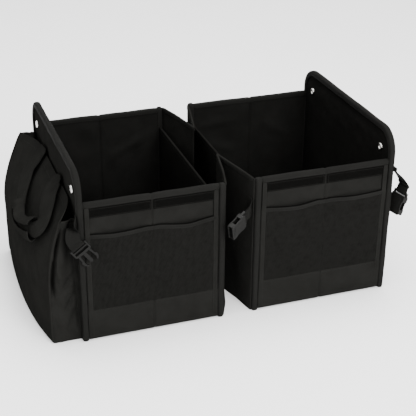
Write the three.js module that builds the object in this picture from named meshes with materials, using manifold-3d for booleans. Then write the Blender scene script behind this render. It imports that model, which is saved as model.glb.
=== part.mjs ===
// Folding car trunk organizer: two open boxes of cloth-covered board with tall end walls, joined by
// a middle section whose front and back gussets are folded inward. The left end carries a bellows
// pocket and a soft handle. Short webbing straps at the seams end in side-release buckles.
// Millimetres, +Z up, +X along the row of boxes, the front toward -Y.
// The pieces are laid out with X = 0 at the left end, Y = 0 on the front walls' outer face and
// Z = 0 on the floor. The last lines move the origin to the middle of the base.

import * as THREE from "three";
import { mergeVertices } from "three/addons/utils/BufferGeometryUtils.js";
import Module from "manifold-3d";

const wasm = await Module();
wasm.setup();

// Driving dimensions of the body
const LEFT_BOX = 258;
const RIGHT_BOX = 266;
const MOUTH = 55;
const DEPTH = 368;
const RIM_HEIGHT = 265;
const INNER_WALL_DROP = 40;
const FLAP_RISE = 53;
const FLAP_RADIUS = 44;
const BOARD = 5;
const CLOTH = 2.5;
const BASE_BOARD = 3;
const CLEAR = 0.3;

// Binding tape round the end walls, posts and rims
const BINDING = 11;
const BINDING_PROUD = 5;
const TAPE = 2;
const POST_ROUND = 2.5;
const POST_BEVEL = 1.2;
const RIM_BINDING = 10.5;
const RIM_TAPE = 1.5;
const RIM_EDGE = 1;
const FOLD_NOTCH = 1.4;
const FOLD_HALF_WIDTH = 2;

// Gussets folded into the middle section
const GUSSET_REACH = 120;
const GUSSET_NOSE = 3;
const POST_OVERLAP = 4;

// Hook tape and mesh pockets on the front walls
const HOOK_TAPE_HEIGHT = 18;
const HOOK_TAPE_THICK = 1.5;
const HOOK_TAPE_MARGIN = 5;
const MESH_DROP = 59;
const MESH_THICK = 1.2;
const MESH_SAG = 4;
const MESH_BULGE = 8;
const BAND_HEIGHT = 60;
const MOUTH_TAPE_HEIGHT = 8;
const MOUTH_TAPE_THICK = 1;

// Bellows pocket on the left end
const POCKET_CLOTH = 2;
const POCKET_INSET = 8;
const POCKET_BELLY = [
  [0, 51],
  [0.15, 63],
  [0.32, 70],
  [0.54, 74],
  [0.76, 72],
  [1, 66],
];
const POCKET_DROP = 14;
const POCKET_NEAR_SAG = 17;
const POCKET_CORNER_GAPE = 27;
const POCKET_GAPE_NEAR_LENGTH = 62;
const POCKET_GAPE_FAR_LENGTH = 78;
const POCKET_FULL_SHARE = 0.5;
const POCKET_DRAW_POWER = 1.6;
const GUSSET_FOLD = 20;
const GUSSET_FOLD_SHARE = 0.8;
const GUSSET_TUCK = 7;
const GUSSET_TUCK_SHARE = 0.88;
const GUSSET_TUCK_WIDTH = 0.08;

// Soft carry handles
const HANDLE_WIDTH = 46;
const HANDLE_GRIP_WIDTH = 32;
const HANDLE_THICK = 6;
const HANDLE_LIFT = 5;
const HANDLE_SNUG = 3;
const HANDLE_ROOT_RISE = 9;
const HANDLE_ROOT_NEAR = 53;
const HANDLE_ROOT_FAR = 74;
const HANDLE_FLAT_DROP = 96;
const HANDLE_FLAT_SPAN = 96;
// The left handle's middle line: place along the pocket from its middle, and drop below its top edge
const HANDLE_NEAR_LEG = [
  [-54, 13],
  [-67, 34],
];
const HANDLE_GRIP = [
  [-82, 52],
  [-88, 70],
  [-76, 87],
  [-54, 93],
  [-27, 87],
  [3, 73],
];
const HANDLE_FAR_LEG = [
  [36, 54],
  [62, 34],
  [72, 13],
];

// Snap fasteners through the end walls
const SNAP_INSET = 37;
const SNAP_RISE = 10;
const SNAP_CAP_RADIUS = 7.5;
const SNAP_CAP_THICK = 2.6;
const SNAP_SHANK_RADIUS = 2.2;
const SNAP_HOLE_RADIUS = 2.6;
const SNAP_RING_RADIUS = 6.5;
const SNAP_RING_THICK = 3;
const SNAP_RING_LIP = 1.4;
const SNAP_RING_BOWL = 0.8;
const SNAP_SIDES = 12;

// Webbing straps and side-release buckles
const WEBBING = 25;
const WEBBING_THICK = 1.6;
const STRAP_DROP = 33;
const STRAP_STAND_OFF = 5;
const LEFT_STRAP_HANG = 39;
const MIDDLE_STRAP_HANG = 34;
const MIDDLE_STRAP_REACH = 22;
const RIGHT_STRAP_HANG = 39;
const RIGHT_STRAP_REACH = 24.5;
const BAR_RADIUS = 1.5;
const BAR_PLAY = 0.5;
const LOOP_SEAM = 0.6;
const BUCKLE_ARM = 3.2;
const BUCKLE_SIDE_PLAY = 0.6;
const BUCKLE_END_PLAY = 0.8;
const FEMALE_LENGTH = 41;
const FEMALE_THICK = 11;
const FEMALE_WALL = 2;
const FEMALE_EDGE = 2;
const FEMALE_SHOULDER = 3;
const FEMALE_THROAT = 12;
const WINDOW_START = 17;
const WINDOW_END = 29;
const MALE_THICK = 4;
const MALE_FRAME_LENGTH = 16;
const MALE_LADDER_BAR = 3;
const MALE_SLOT = 4.6;
const PRONG_LENGTH = 26;
const PRONG_WIDTH = 3.6;
const PRONG_BARB = 3;
const PRONG_BARB_LENGTH = 6;
const CENTRE_PRONG_WIDTH = 6.4;
const PLATE_EDGE = 0.5;

// Places worked out from the sizes above
const TOTAL = LEFT_BOX + MOUTH + RIGHT_BOX;
const MID_Y = DEPTH / 2;
const LEFT_INNER_X = LEFT_BOX;
const RIGHT_INNER_X = LEFT_BOX + MOUTH;
const WALL_INSET = (BINDING - BOARD) / 2;
const BINDING_FRONT = -BINDING_PROUD;
const BINDING_BACK = BINDING - BINDING_PROUD;
const WALL_TOP = RIM_HEIGHT - RIM_TAPE - CLEAR;
const PANEL_BOTTOM = CLOTH + CLEAR;
const LOOP_INNER = BAR_RADIUS + BAR_PLAY;
const LOOP_OUTER = LOOP_INNER + WEBBING_THICK;
const LOOP_SLOT = LOOP_OUTER + BUCKLE_END_PLAY;
const BUCKLE_WIDTH = WEBBING + 2 * (BUCKLE_ARM + BUCKLE_SIDE_PLAY);
const END_WALL_HEIGHT = RIM_HEIGHT + FLAP_RISE;
const INNER_WALL_HEIGHT = RIM_HEIGHT - INNER_WALL_DROP;
const SNAP_HEIGHT = RIM_HEIGHT + SNAP_RISE;
const MESH_MOUTH = RIM_HEIGHT - MESH_DROP;
const POCKET_TOP = RIM_HEIGHT - POCKET_DROP;
const POCKET_NEAR_TOP = POCKET_TOP - POCKET_NEAR_SAG;

const cloth = () => new THREE.MeshStandardMaterial({ color: 0x17171a, roughness: 0.82 });
const mesh = () => new THREE.MeshStandardMaterial({ color: 0x111113, roughness: 0.9 });
const tape = () => new THREE.MeshStandardMaterial({ color: 0x1c1c1f, roughness: 0.7 });
const hook = () => new THREE.MeshStandardMaterial({ color: 0x0b0b0c, roughness: 0.95 });
const board = () => new THREE.MeshStandardMaterial({ color: 0x141416, roughness: 0.85 });
const plastic = () => new THREE.MeshStandardMaterial({ color: 0x101012, roughness: 0.35 });
const nickel = () => new THREE.MeshStandardMaterial({ color: 0xd8d8dc, roughness: 0.22, metalness: 1 });

const organizer = new THREE.Group();
organizer.name = "trunk_organizer";

// Geometry helpers

// One closed body with shared corners merged and flat slivers dropped
function clean(geometry) {
  const bare = new THREE.BufferGeometry();
  bare.setAttribute("position", geometry.getAttribute("position").clone());
  if (geometry.index) bare.setIndex(geometry.index.clone());
  const merged = mergeVertices(bare, 1e-4);
  const index = merged.index.array;
  const kept = [];
  for (let i = 0; i < index.length; i += 3) {
    const [a, b, c] = [index[i], index[i + 1], index[i + 2]];
    if (a !== b && b !== c && a !== c) kept.push(a, b, c);
  }
  merged.setIndex(kept);
  merged.computeVertexNormals();
  return merged;
}

function solid(geometry) {
  const whole = clean(geometry);
  return new wasm.Manifold(
    new wasm.Mesh({
      numProp: 3,
      vertProperties: new Float32Array(whole.getAttribute("position").array),
      triVerts: new Uint32Array(whole.index.array),
    }),
  );
}

function fromSolid(body) {
  const made = body.getMesh();
  const geometry = new THREE.BufferGeometry();
  geometry.setAttribute("position", new THREE.BufferAttribute(new Float32Array(made.vertProperties), 3));
  geometry.setIndex(new THREE.BufferAttribute(new Uint32Array(made.triVerts), 1));
  return geometry;
}

function box([x0, x1], [y0, y1], [z0, z1]) {
  const made = new THREE.BoxGeometry(x1 - x0, y1 - y0, z1 - z0);
  return made.translate((x0 + x1) / 2, (y0 + y1) / 2, (z0 + z1) / 2);
}

function outline(points) {
  return new THREE.Shape(points.map(([a, b]) => new THREE.Vector2(a, b)));
}

function prism(shape, from, to, bevel = 0) {
  const made = new THREE.ExtrudeGeometry(shape, {
    depth: to - from - 2 * bevel,
    curveSegments: 5,
    bevelEnabled: bevel > 0,
    bevelThickness: bevel,
    bevelSize: bevel,
    bevelOffset: -bevel,
    bevelSegments: 1,
  });
  return made.translate(0, 0, from + bevel);
}

// A shape drawn in Y and Z, carried along X
function alongX(shape, from, to, bevel = 0) {
  const turn = new THREE.Matrix4().makeBasis(
    new THREE.Vector3(0, 1, 0),
    new THREE.Vector3(0, 0, 1),
    new THREE.Vector3(1, 0, 0),
  );
  return prism(shape, from, to, bevel).applyMatrix4(turn);
}

// The mirror image in the plane where the named axis has the given value
function mirrored(geometry, axis, at) {
  const copy = clean(geometry);
  const position = copy.getAttribute("position");
  const column = "xyz".indexOf(axis);
  for (let i = 0; i < position.count; i += 1) {
    position.setComponent(i, column, 2 * at - position.getComponent(i, column));
  }
  const index = copy.index;
  for (let i = 0; i < index.count; i += 3) {
    const second = index.getX(i + 1);
    index.setX(i + 1, index.getX(i + 2));
    index.setX(i + 2, second);
  }
  return copy;
}

const toBack = (geometry) => mirrored(geometry, "y", MID_Y);
const toRight = (geometry) => mirrored(geometry, "x", TOTAL / 2);

// A closed skin between two surfaces given as functions of two parameters from 0 to 1
function skin(outer, inner, across, up) {
  const positions = [];
  const index = [];
  const row = across + 1;
  const layer = row * (up + 1);
  for (const surface of [outer, inner]) {
    for (let j = 0; j <= up; j += 1) {
      for (let i = 0; i <= across; i += 1) positions.push(...surface(i / across, j / up));
    }
  }
  const quad = (a, b, c, d) => index.push(a, b, c, a, c, d);
  for (let j = 0; j < up; j += 1) {
    for (let i = 0; i < across; i += 1) {
      const a = j * row + i;
      quad(a, a + 1, a + 1 + row, a + row);
      quad(layer + a, layer + a + row, layer + a + row + 1, layer + a + 1);
    }
  }
  for (let i = 0; i < across; i += 1) {
    const top = up * row + i;
    quad(i, layer + i, layer + i + 1, i + 1);
    quad(top, top + 1, layer + top + 1, layer + top);
  }
  for (let j = 0; j < up; j += 1) {
    const left = j * row;
    const right = left + across;
    quad(left, left + row, layer + left + row, layer + left);
    quad(right, layer + right, layer + right + row, right + row);
  }
  const made = new THREE.BufferGeometry();
  made.setAttribute("position", new THREE.Float32BufferAttribute(positions, 3));
  made.setIndex(index);
  return made;
}

// A flat band that runs through stations, each with a place, a direction across and a width
function ribbon(stations, thick, steps) {
  const route = new THREE.CatmullRomCurve3(stations.map((s) => s.at), false, "centripetal");
  const spread = new THREE.CatmullRomCurve3(
    stations.map((s) => s.across.clone().normalize().multiplyScalar(s.width / 2)),
    false,
    "centripetal",
  );
  const corners = (t, side, face) => {
    const along = route.getTangent(t).normalize();
    const half = spread.getPoint(t);
    const normal = new THREE.Vector3().crossVectors(half, along).normalize();
    const spot = route.getPoint(t).addScaledVector(half, side).addScaledVector(normal, (face * thick) / 2);
    return spot.toArray();
  };
  return skin(
    (u, v) => corners(v, 2 * u - 1, 1),
    (u, v) => corners(v, 2 * u - 1, -1),
    1,
    steps,
  );
}

function add(name, geometry, material) {
  const piece = new THREE.Mesh(clean(geometry), material);
  piece.name = name;
  organizer.add(piece);
  return piece;
}

// End walls: tall boards with rounded top corners, bound all round by one tape

function endOutline(inset, bottom) {
  const front = BINDING_FRONT + inset;
  const back = DEPTH - BINDING_FRONT - inset;
  const top = END_WALL_HEIGHT - inset;
  const radius = FLAP_RADIUS - inset;
  const shape = new THREE.Shape();
  shape.moveTo(front, bottom);
  shape.lineTo(back, bottom);
  shape.lineTo(back, top - radius);
  shape.absarc(back - radius, top - radius, radius, 0, Math.PI / 2, false);
  shape.lineTo(front + radius, top);
  shape.absarc(front + radius, top - radius, radius, Math.PI / 2, Math.PI, false);
  shape.closePath();
  return shape;
}

function snapPlaces() {
  return [
    ["front", SNAP_INSET],
    ["back", DEPTH - SNAP_INSET],
  ];
}

function endWall() {
  const shape = endOutline(TAPE + CLEAR, CLEAR);
  for (const [, y] of snapPlaces()) {
    const hole = new THREE.Path();
    hole.absarc(y, SNAP_HEIGHT, SNAP_HOLE_RADIUS, 0, 2 * Math.PI, true);
    shape.holes.push(hole);
  }
  return alongX(shape, WALL_INSET, WALL_INSET + BOARD);
}

function endBinding() {
  const below = -2 * BINDING;
  const whole = solid(alongX(endOutline(0, 0), 0, BINDING, POST_ROUND));
  const middle = solid(alongX(endOutline(BINDING, below), -BINDING, 2 * BINDING));
  const groove = solid(
    alongX(endOutline(TAPE, below), WALL_INSET - CLEAR, WALL_INSET + BOARD + CLEAR),
  );
  return fromSolid(whole.subtract(middle).subtract(groove));
}

add("left_end_wall", endWall(), cloth());
add("right_end_wall", toRight(endWall()), cloth());
add("left_end_binding", endBinding(), tape());
add("right_end_binding", toRight(endBinding()), tape());

// Inner walls: lower boards that stand between two posts each

function post(x) {
  const [x0, x1] = [x, x + BINDING];
  const [y0, y1] = [BINDING_FRONT, BINDING_BACK];
  const shape = outline([
    [x0 + POST_ROUND, y0],
    [x1 - POST_ROUND, y0],
    [x1, y0 + POST_ROUND],
    [x1, y1],
    [x0, y1],
    [x0, y0 + POST_ROUND],
  ]);
  return prism(shape, 0, RIM_HEIGHT, POST_BEVEL);
}

function innerWall(x) {
  return box(
    [x + WALL_INSET, x + WALL_INSET + BOARD],
    [BINDING_BACK + CLEAR, DEPTH - BINDING_BACK - CLEAR],
    [CLEAR, INNER_WALL_HEIGHT],
  );
}

const LEFT_POST_X = LEFT_INNER_X - BINDING;
add("left_inner_wall", innerWall(LEFT_POST_X), cloth());
add("right_inner_wall", innerWall(RIGHT_INNER_X), cloth());
for (const [side, x] of [["left", LEFT_POST_X], ["right", RIGHT_INNER_X]]) {
  add(`${side}_inner_front_post`, post(x), tape());
  add(`${side}_inner_back_post`, toBack(post(x)), tape());
}

// Each box: front and back walls with a fold down the middle, rim tape, floor and base board

function sideWall(x0, x1) {
  const middle = (x0 + x1) / 2;
  const shape = outline([
    [x0, 0],
    [middle - FOLD_HALF_WIDTH, 0],
    [middle, FOLD_NOTCH],
    [middle + FOLD_HALF_WIDTH, 0],
    [x1, 0],
    [x1, BOARD],
    [middle + FOLD_HALF_WIDTH, BOARD],
    [middle, BOARD - FOLD_NOTCH],
    [middle - FOLD_HALF_WIDTH, BOARD],
    [x0, BOARD],
  ]);
  return prism(shape, PANEL_BOTTOM, WALL_TOP);
}

function rimTape(x0, x1) {
  const out = RIM_TAPE + CLEAR;
  const low = RIM_HEIGHT - RIM_BINDING;
  const groove = RIM_HEIGHT - RIM_TAPE;
  const shape = outline([
    [-out, low],
    [-CLEAR, low],
    [-CLEAR, groove],
    [BOARD + CLEAR, groove],
    [BOARD + CLEAR, low],
    [BOARD + out, low],
    [BOARD + out, RIM_HEIGHT - RIM_EDGE],
    [BOARD + out - RIM_EDGE, RIM_HEIGHT],
    [RIM_EDGE - out, RIM_HEIGHT],
    [-out, RIM_HEIGHT - RIM_EDGE],
  ]);
  return alongX(shape, x0, x1);
}

// Mesh pocket: one sheet over both halves of the wall, standing off it between the stitched lines
function meshFace(x0, x1, u, z) {
  const half = Math.sin(2 * Math.PI * u) ** 2;
  const rise = Math.max(0, (z - BAND_HEIGHT) / (MESH_MOUTH - BAND_HEIGHT));
  return [x0 + (x1 - x0) * u, -CLEAR - MESH_THICK - MESH_BULGE * half * Math.sqrt(rise), z];
}

function meshMouth(u) {
  return MESH_MOUTH - MESH_SAG * Math.sin(2 * Math.PI * u) ** 2;
}

function meshPocket(x0, x1) {
  const outer = (u, v) => {
    const low = BAND_HEIGHT + CLEAR;
    return meshFace(x0, x1, u, low + (meshMouth(u) - low) * v);
  };
  const inner = (u, v) => {
    const [x, y, z] = outer(u, v);
    return [x, y + MESH_THICK, z];
  };
  return skin(outer, inner, 12, 4);
}

function mouthTape(x0, x1) {
  const back = (u, v) => {
    const z = meshMouth(u) - MOUTH_TAPE_HEIGHT * (1 - v) - CLEAR;
    const [x, y] = meshFace(x0, x1, u, z);
    return [x, y - CLEAR, z];
  };
  const front = (u, v) => {
    const [x, y, z] = back(u, v);
    return [x, y - MOUTH_TAPE_THICK, z];
  };
  return skin(front, back, 12, 1);
}

function pocketBand(x0, x1) {
  const middle = (x0 + x1) / 2;
  const face = -CLEAR - CLOTH;
  const shape = outline([
    [x0, face],
    [middle - FOLD_HALF_WIDTH, face],
    [middle, face + FOLD_NOTCH],
    [middle + FOLD_HALF_WIDTH, face],
    [x1, face],
    [x1, -CLEAR],
    [x0, -CLEAR],
  ]);
  return prism(shape, PANEL_BOTTOM, BAND_HEIGHT);
}

// The floor reaches the end and inner walls, with its corners cut back round the posts
function floorCloth(left, right) {
  const wall = WALL_INSET + BOARD + CLEAR;
  const postX = BINDING + CLEAR;
  const postY = BINDING_BACK + CLEAR;
  const shape = outline([
    [left + postX, CLOTH],
    [right - postX, CLOTH],
    [right - postX, postY],
    [right - wall, postY],
    [right - wall, DEPTH - postY],
    [right - postX, DEPTH - postY],
    [right - postX, DEPTH - CLOTH],
    [left + postX, DEPTH - CLOTH],
    [left + postX, DEPTH - postY],
    [left + wall, DEPTH - postY],
    [left + wall, postY],
    [left + postX, postY],
  ]);
  return prism(shape, 0, CLOTH);
}

function baseBoard(left, right) {
  const wall = WALL_INSET + BOARD + 2 * CLEAR;
  const postY = Math.max(BINDING_BACK, BOARD) + 2 * CLEAR;
  return box(
    [left + wall, right - wall],
    [postY, DEPTH - postY],
    [CLOTH + CLEAR, CLOTH + CLEAR + BASE_BOARD],
  );
}

function hookTape(x0, x1) {
  const top = RIM_HEIGHT - RIM_BINDING - CLEAR;
  return box([x0, x1], [-CLEAR - HOOK_TAPE_THICK, -CLEAR], [top - HOOK_TAPE_HEIGHT, top]);
}

for (const [side, left, right] of [["left", 0, LEFT_BOX], ["right", RIGHT_INNER_X, TOTAL]]) {
  const x0 = left + BINDING + CLEAR;
  const x1 = right - BINDING - CLEAR;
  const middle = (x0 + x1) / 2;
  add(`${side}_front_wall`, sideWall(x0, x1), cloth());
  add(`${side}_back_wall`, toBack(sideWall(x0, x1)), cloth());
  add(`${side}_front_rim`, rimTape(x0, x1), tape());
  add(`${side}_back_rim`, toBack(rimTape(x0, x1)), tape());
  add(`${side}_floor`, floorCloth(left, right), cloth());
  add(`${side}_base_board`, baseBoard(left, right), board());
  add(`${side}_mesh_pocket`, meshPocket(x0, x1), mesh());
  add(`${side}_mesh_mouth_tape`, mouthTape(x0, x1), tape());
  add(`${side}_pocket_band`, pocketBand(x0, x1), cloth());
  const margin = HOOK_TAPE_MARGIN;
  add(`${side}_hook_tape_a`, hookTape(x0 + margin, middle - FOLD_HALF_WIDTH), hook());
  add(`${side}_hook_tape_b`, hookTape(middle + FOLD_HALF_WIDTH, x1 - margin), hook());
}

// Middle section: a floor web, and front and back gussets folded inward as a V in plan

function gusset() {
  const left = LEFT_INNER_X + CLEAR;
  const right = RIGHT_INNER_X - CLEAR;
  const middle = (left + right) / 2;
  const front = BINDING_BACK - POST_OVERLAP;
  const shape = outline([
    [left, front],
    [left + CLOTH, front],
    [middle, GUSSET_REACH - GUSSET_NOSE - CLOTH],
    [right - CLOTH, front],
    [right, front],
    [middle + GUSSET_NOSE, GUSSET_REACH - GUSSET_NOSE],
    [middle + GUSSET_NOSE / 2, GUSSET_REACH],
    [middle - GUSSET_NOSE / 2, GUSSET_REACH],
    [middle - GUSSET_NOSE, GUSSET_REACH - GUSSET_NOSE],
  ]);
  return prism(shape, 0, RIM_HEIGHT);
}

add("front_gusset", gusset(), cloth());
add("back_gusset", toBack(gusset()), cloth());
add(
  "middle_floor",
  box(
    [LEFT_INNER_X - WALL_INSET + CLEAR, RIGHT_INNER_X + WALL_INSET - CLEAR],
    [GUSSET_REACH + CLEAR, DEPTH - GUSSET_REACH - CLEAR],
    [0, CLOTH],
  ),
  cloth(),
);

// Bellows pocket: a bulging outer panel that returns under the pocket as its floor, and two gussets

function belly(y) {
  const t = (y - POCKET_INSET) / (DEPTH - 2 * POCKET_INSET);
  const after = POCKET_BELLY.findIndex(([share]) => share >= t);
  if (after <= 0) return POCKET_BELLY[after < 0 ? POCKET_BELLY.length - 1 : 0][1];
  const [t0, b0] = POCKET_BELLY[after - 1];
  const [t1, b1] = POCKET_BELLY[after];
  return b0 + ((b1 - b0) * (t - t0)) / (t1 - t0);
}

function pocketTop(y) {
  const near = Math.max(0, 1 - (y - POCKET_INSET) / POCKET_GAPE_NEAR_LENGTH) ** 2;
  return POCKET_TOP - (POCKET_TOP - POCKET_NEAR_TOP) * near;
}

function pocketFace(y, z) {
  const near = Math.max(0, 1 - (y - POCKET_INSET) / POCKET_GAPE_NEAR_LENGTH) ** 2;
  const far = Math.max(0, 1 - (DEPTH - POCKET_INSET - y) / POCKET_GAPE_FAR_LENGTH) ** 2;
  const closed = WALL_INSET - CLEAR - POCKET_CLOTH;
  const top = closed - POCKET_CORNER_GAPE * (near + far);
  const height = z / pocketTop(y);
  const drawn = (Math.max(0, height - POCKET_FULL_SHARE) / (1 - POCKET_FULL_SHARE)) ** POCKET_DRAW_POWER;
  return -belly(y) + (top + belly(y)) * drawn;
}

function pocketPanel() {
  const turn = 3 / 19;
  const surface = (inset) => (u, v) => {
    const y = DEPTH - POCKET_INSET - (DEPTH - 2 * POCKET_INSET) * u;
    const root = WALL_INSET - CLEAR;
    if (v <= turn) return [root + (inset - belly(y) - root) * (v / turn), y, inset];
    const z = inset + ((pocketTop(y) - inset) * (v - turn)) / (1 - turn);
    return [pocketFace(y, z) + inset, y, z];
  };
  return skin(surface(0), surface(POCKET_CLOTH), 12, 19);
}

// The end gusset at y0; inward is the direction into the pocket along Y
function pocketGusset(y0, inward) {
  const low = POCKET_CLOTH + CLEAR;
  const top = pocketTop(y0) - CLEAR;
  const root = WALL_INSET - CLEAR;
  const face = (depth) => (u, v) => {
    const share = inward > 0 ? 1 - u : u;
    const z = low + (top - low) * v;
    const panel = Math.max(pocketFace(y0, z), pocketFace(y0 + inward * POCKET_CLOTH, z));
    const edge = panel + POCKET_CLOTH + 2 * CLEAR;
    const crease = 1 - Math.abs(2 * Math.min(1, share / GUSSET_FOLD_SHARE) - 1);
    const fold = GUSSET_FOLD * v * v * crease;
    const nearEdge = Math.max(0, 1 - Math.abs(share - GUSSET_TUCK_SHARE) / GUSSET_TUCK_WIDTH);
    const tuck = GUSSET_TUCK * Math.sin(Math.PI * v) ** 2 * nearEdge;
    return [root + (edge - root) * share, y0 + inward * (fold + tuck + depth), z];
  };
  return skin(face(0), face(POCKET_CLOTH), 10, 11);
}

add("end_pocket_panel", pocketPanel(), cloth());
add("end_pocket_front_gusset", pocketGusset(POCKET_INSET, 1), cloth());
add("end_pocket_back_gusset", pocketGusset(DEPTH - POCKET_INSET, -1), cloth());

// Carry handles: the left one droops over the pocket, the right one lies flat on its end wall

function overPocket(fromMiddle, drop, lift) {
  const y = MID_Y + fromMiddle;
  const z = POCKET_TOP - drop;
  const slopeY = pocketFace(y + 1, z) - pocketFace(y - 1, z);
  const slopeZ = pocketFace(y, z + 1) - pocketFace(y, z - 1);
  const normal = new THREE.Vector3(-2, slopeY, slopeZ).normalize();
  return { at: new THREE.Vector3(pocketFace(y, z), y, z).addScaledVector(normal, lift), normal };
}

// Stations for a band that lies on a surface: places with the surface's normal and the width there
function laidOn(places) {
  return places.map(({ at, normal, width }, i) => {
    const before = places[Math.max(0, i - 1)].at;
    const after = places[Math.min(places.length - 1, i + 1)].at;
    const along = after.clone().sub(before).normalize();
    return { at, width, across: new THREE.Vector3().crossVectors(normal, along) };
  });
}

// Where a handle's end is sewn to the end wall, just above the pocket's top edge
function handleRoot(fromMiddle) {
  const x = WALL_INSET - CLEAR - HANDLE_THICK / 2;
  const z = POCKET_TOP + HANDLE_ROOT_RISE;
  return {
    at: new THREE.Vector3(x, MID_Y + fromMiddle, z),
    normal: new THREE.Vector3(-1, 0, 0),
    width: HANDLE_WIDTH,
  };
}

function leftHandle() {
  const places = [];
  const lay = (route, width) => {
    for (const [fromMiddle, drop] of route) {
      const gap = drop <= HANDLE_NEAR_LEG[0][1] ? HANDLE_SNUG : HANDLE_LIFT;
      places.push({ ...overPocket(fromMiddle, drop, gap + HANDLE_THICK / 2), width });
    }
  };
  places.push(handleRoot(-HANDLE_ROOT_NEAR));
  lay(HANDLE_NEAR_LEG, HANDLE_WIDTH);
  lay(HANDLE_GRIP, HANDLE_GRIP_WIDTH);
  lay(HANDLE_FAR_LEG, HANDLE_WIDTH);
  places.push(handleRoot(HANDLE_ROOT_FAR));
  return ribbon(laidOn(places), HANDLE_THICK, 30);
}

function rightHandle() {
  const x = TOTAL - WALL_INSET + CLEAR + HANDLE_THICK / 2;
  const half = HANDLE_FLAT_SPAN / 2;
  const normal = new THREE.Vector3(1, 0, 0);
  const places = [];
  const put = (y, z) => places.push({ at: new THREE.Vector3(x, y, z), normal, width: HANDLE_GRIP_WIDTH });
  const turnHeight = POCKET_TOP - HANDLE_FLAT_DROP + half;
  put(MID_Y - half, POCKET_TOP);
  put(MID_Y - half, (POCKET_TOP + turnHeight) / 2);
  for (let i = 0; i <= 6; i += 1) {
    const angle = Math.PI * (1 + i / 6);
    put(MID_Y + half * Math.cos(angle), turnHeight + half * Math.sin(angle));
  }
  put(MID_Y + half, (POCKET_TOP + turnHeight) / 2);
  put(MID_Y + half, POCKET_TOP);
  return ribbon(laidOn(places), HANDLE_THICK, 24);
}

add("left_handle", leftHandle(), cloth());
add("right_handle", rightHandle(), cloth());

// Snap fasteners: a domed cap outside with its shank through the wall, and a ring inside

function lathe(points) {
  return new THREE.LatheGeometry(points.map(([r, h]) => new THREE.Vector2(r, h)), SNAP_SIDES)
    .rotateZ(-Math.PI / 2);
}

function snapCap(y) {
  const face = WALL_INSET - CLEAR;
  const tip = WALL_INSET + BOARD + SNAP_RING_THICK;
  const made = lathe([
    [0, face - SNAP_CAP_THICK],
    [SNAP_CAP_RADIUS * 0.6, face - SNAP_CAP_THICK * 0.85],
    [SNAP_CAP_RADIUS * 0.92, face - SNAP_CAP_THICK * 0.45],
    [SNAP_CAP_RADIUS, face],
    [SNAP_SHANK_RADIUS, face],
    [SNAP_SHANK_RADIUS, tip],
    [0, tip],
  ]);
  return made.translate(0, y, SNAP_HEIGHT);
}

function snapRing(y) {
  const near = WALL_INSET + BOARD + CLEAR;
  const far = near + SNAP_RING_THICK;
  const made = lathe([
    [SNAP_HOLE_RADIUS, near],
    [SNAP_RING_RADIUS, near],
    [SNAP_RING_RADIUS, far - SNAP_RING_BOWL],
    [SNAP_RING_RADIUS - SNAP_RING_LIP, far],
    [SNAP_RING_RADIUS - 2 * SNAP_RING_LIP, far - SNAP_RING_BOWL],
    [SNAP_HOLE_RADIUS, far - SNAP_RING_BOWL],
    [SNAP_HOLE_RADIUS, near],
  ]);
  return made.translate(0, y, SNAP_HEIGHT);
}

for (const [place, y] of snapPlaces()) {
  add(`left_${place}_snap_cap`, snapCap(y), nickel());
  add(`left_${place}_snap_ring`, snapRing(y), nickel());
  add(`right_${place}_snap_cap`, toRight(snapCap(y)), nickel());
  add(`right_${place}_snap_ring`, toRight(snapRing(y)), nickel());
}

// Buckles, each drawn about its own bar: the bar on X, the thickness on Y, the length along Z

function barAndArms(thick, length) {
  const half = BUCKLE_WIDTH / 2;
  const bar = new THREE.CylinderGeometry(BAR_RADIUS, BAR_RADIUS, 2 * half - BUCKLE_ARM, 12).rotateZ(Math.PI / 2);
  let body = solid(bar);
  for (const side of [-1, 1]) {
    const x = side * (half - BUCKLE_ARM / 2);
    const arm = box(
      [x - BUCKLE_ARM / 2, x + BUCKLE_ARM / 2],
      [-thick / 2, thick / 2],
      [-BAR_RADIUS, length],
    );
    body = body.add(solid(arm));
  }
  return body;
}

// A shape drawn in X and Z, centred on Y, with rounded edges
function plate(shape, thick, bevel) {
  return prism(shape, -thick / 2, thick / 2, bevel).applyMatrix4(
    new THREE.Matrix4().makeBasis(
      new THREE.Vector3(1, 0, 0),
      new THREE.Vector3(0, 0, 1),
      new THREE.Vector3(0, -1, 0),
    ),
  );
}

function femaleBuckle() {
  const half = BUCKLE_WIDTH / 2;
  const shoulder = LOOP_SLOT + FEMALE_SHOULDER;
  const shape = outline([
    [FEMALE_SHOULDER / 2 - half, LOOP_SLOT],
    [half - FEMALE_SHOULDER / 2, LOOP_SLOT],
    [half, shoulder],
    [half, FEMALE_LENGTH - FEMALE_EDGE],
    [half - FEMALE_EDGE, FEMALE_LENGTH],
    [FEMALE_EDGE - half, FEMALE_LENGTH],
    [-half, FEMALE_LENGTH - FEMALE_EDGE],
    [-half, shoulder],
  ]);
  const inside = half - FEMALE_WALL;
  const hollow = FEMALE_THICK / 2 - FEMALE_WALL;
  let body = solid(plate(shape, FEMALE_THICK, FEMALE_EDGE));
  body = body.add(barAndArms(MALE_THICK, shoulder));
  body = body.subtract(solid(box([-inside, inside], [-hollow, hollow], [FEMALE_THROAT, FEMALE_LENGTH + 1])));
  for (const [x0, x1] of [[-half - 1, 1 - inside], [inside - 1, half + 1]]) {
    body = body.subtract(solid(box([x0, x1], [-hollow, hollow], [WINDOW_START, WINDOW_END])));
  }
  return fromSolid(body);
}

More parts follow.
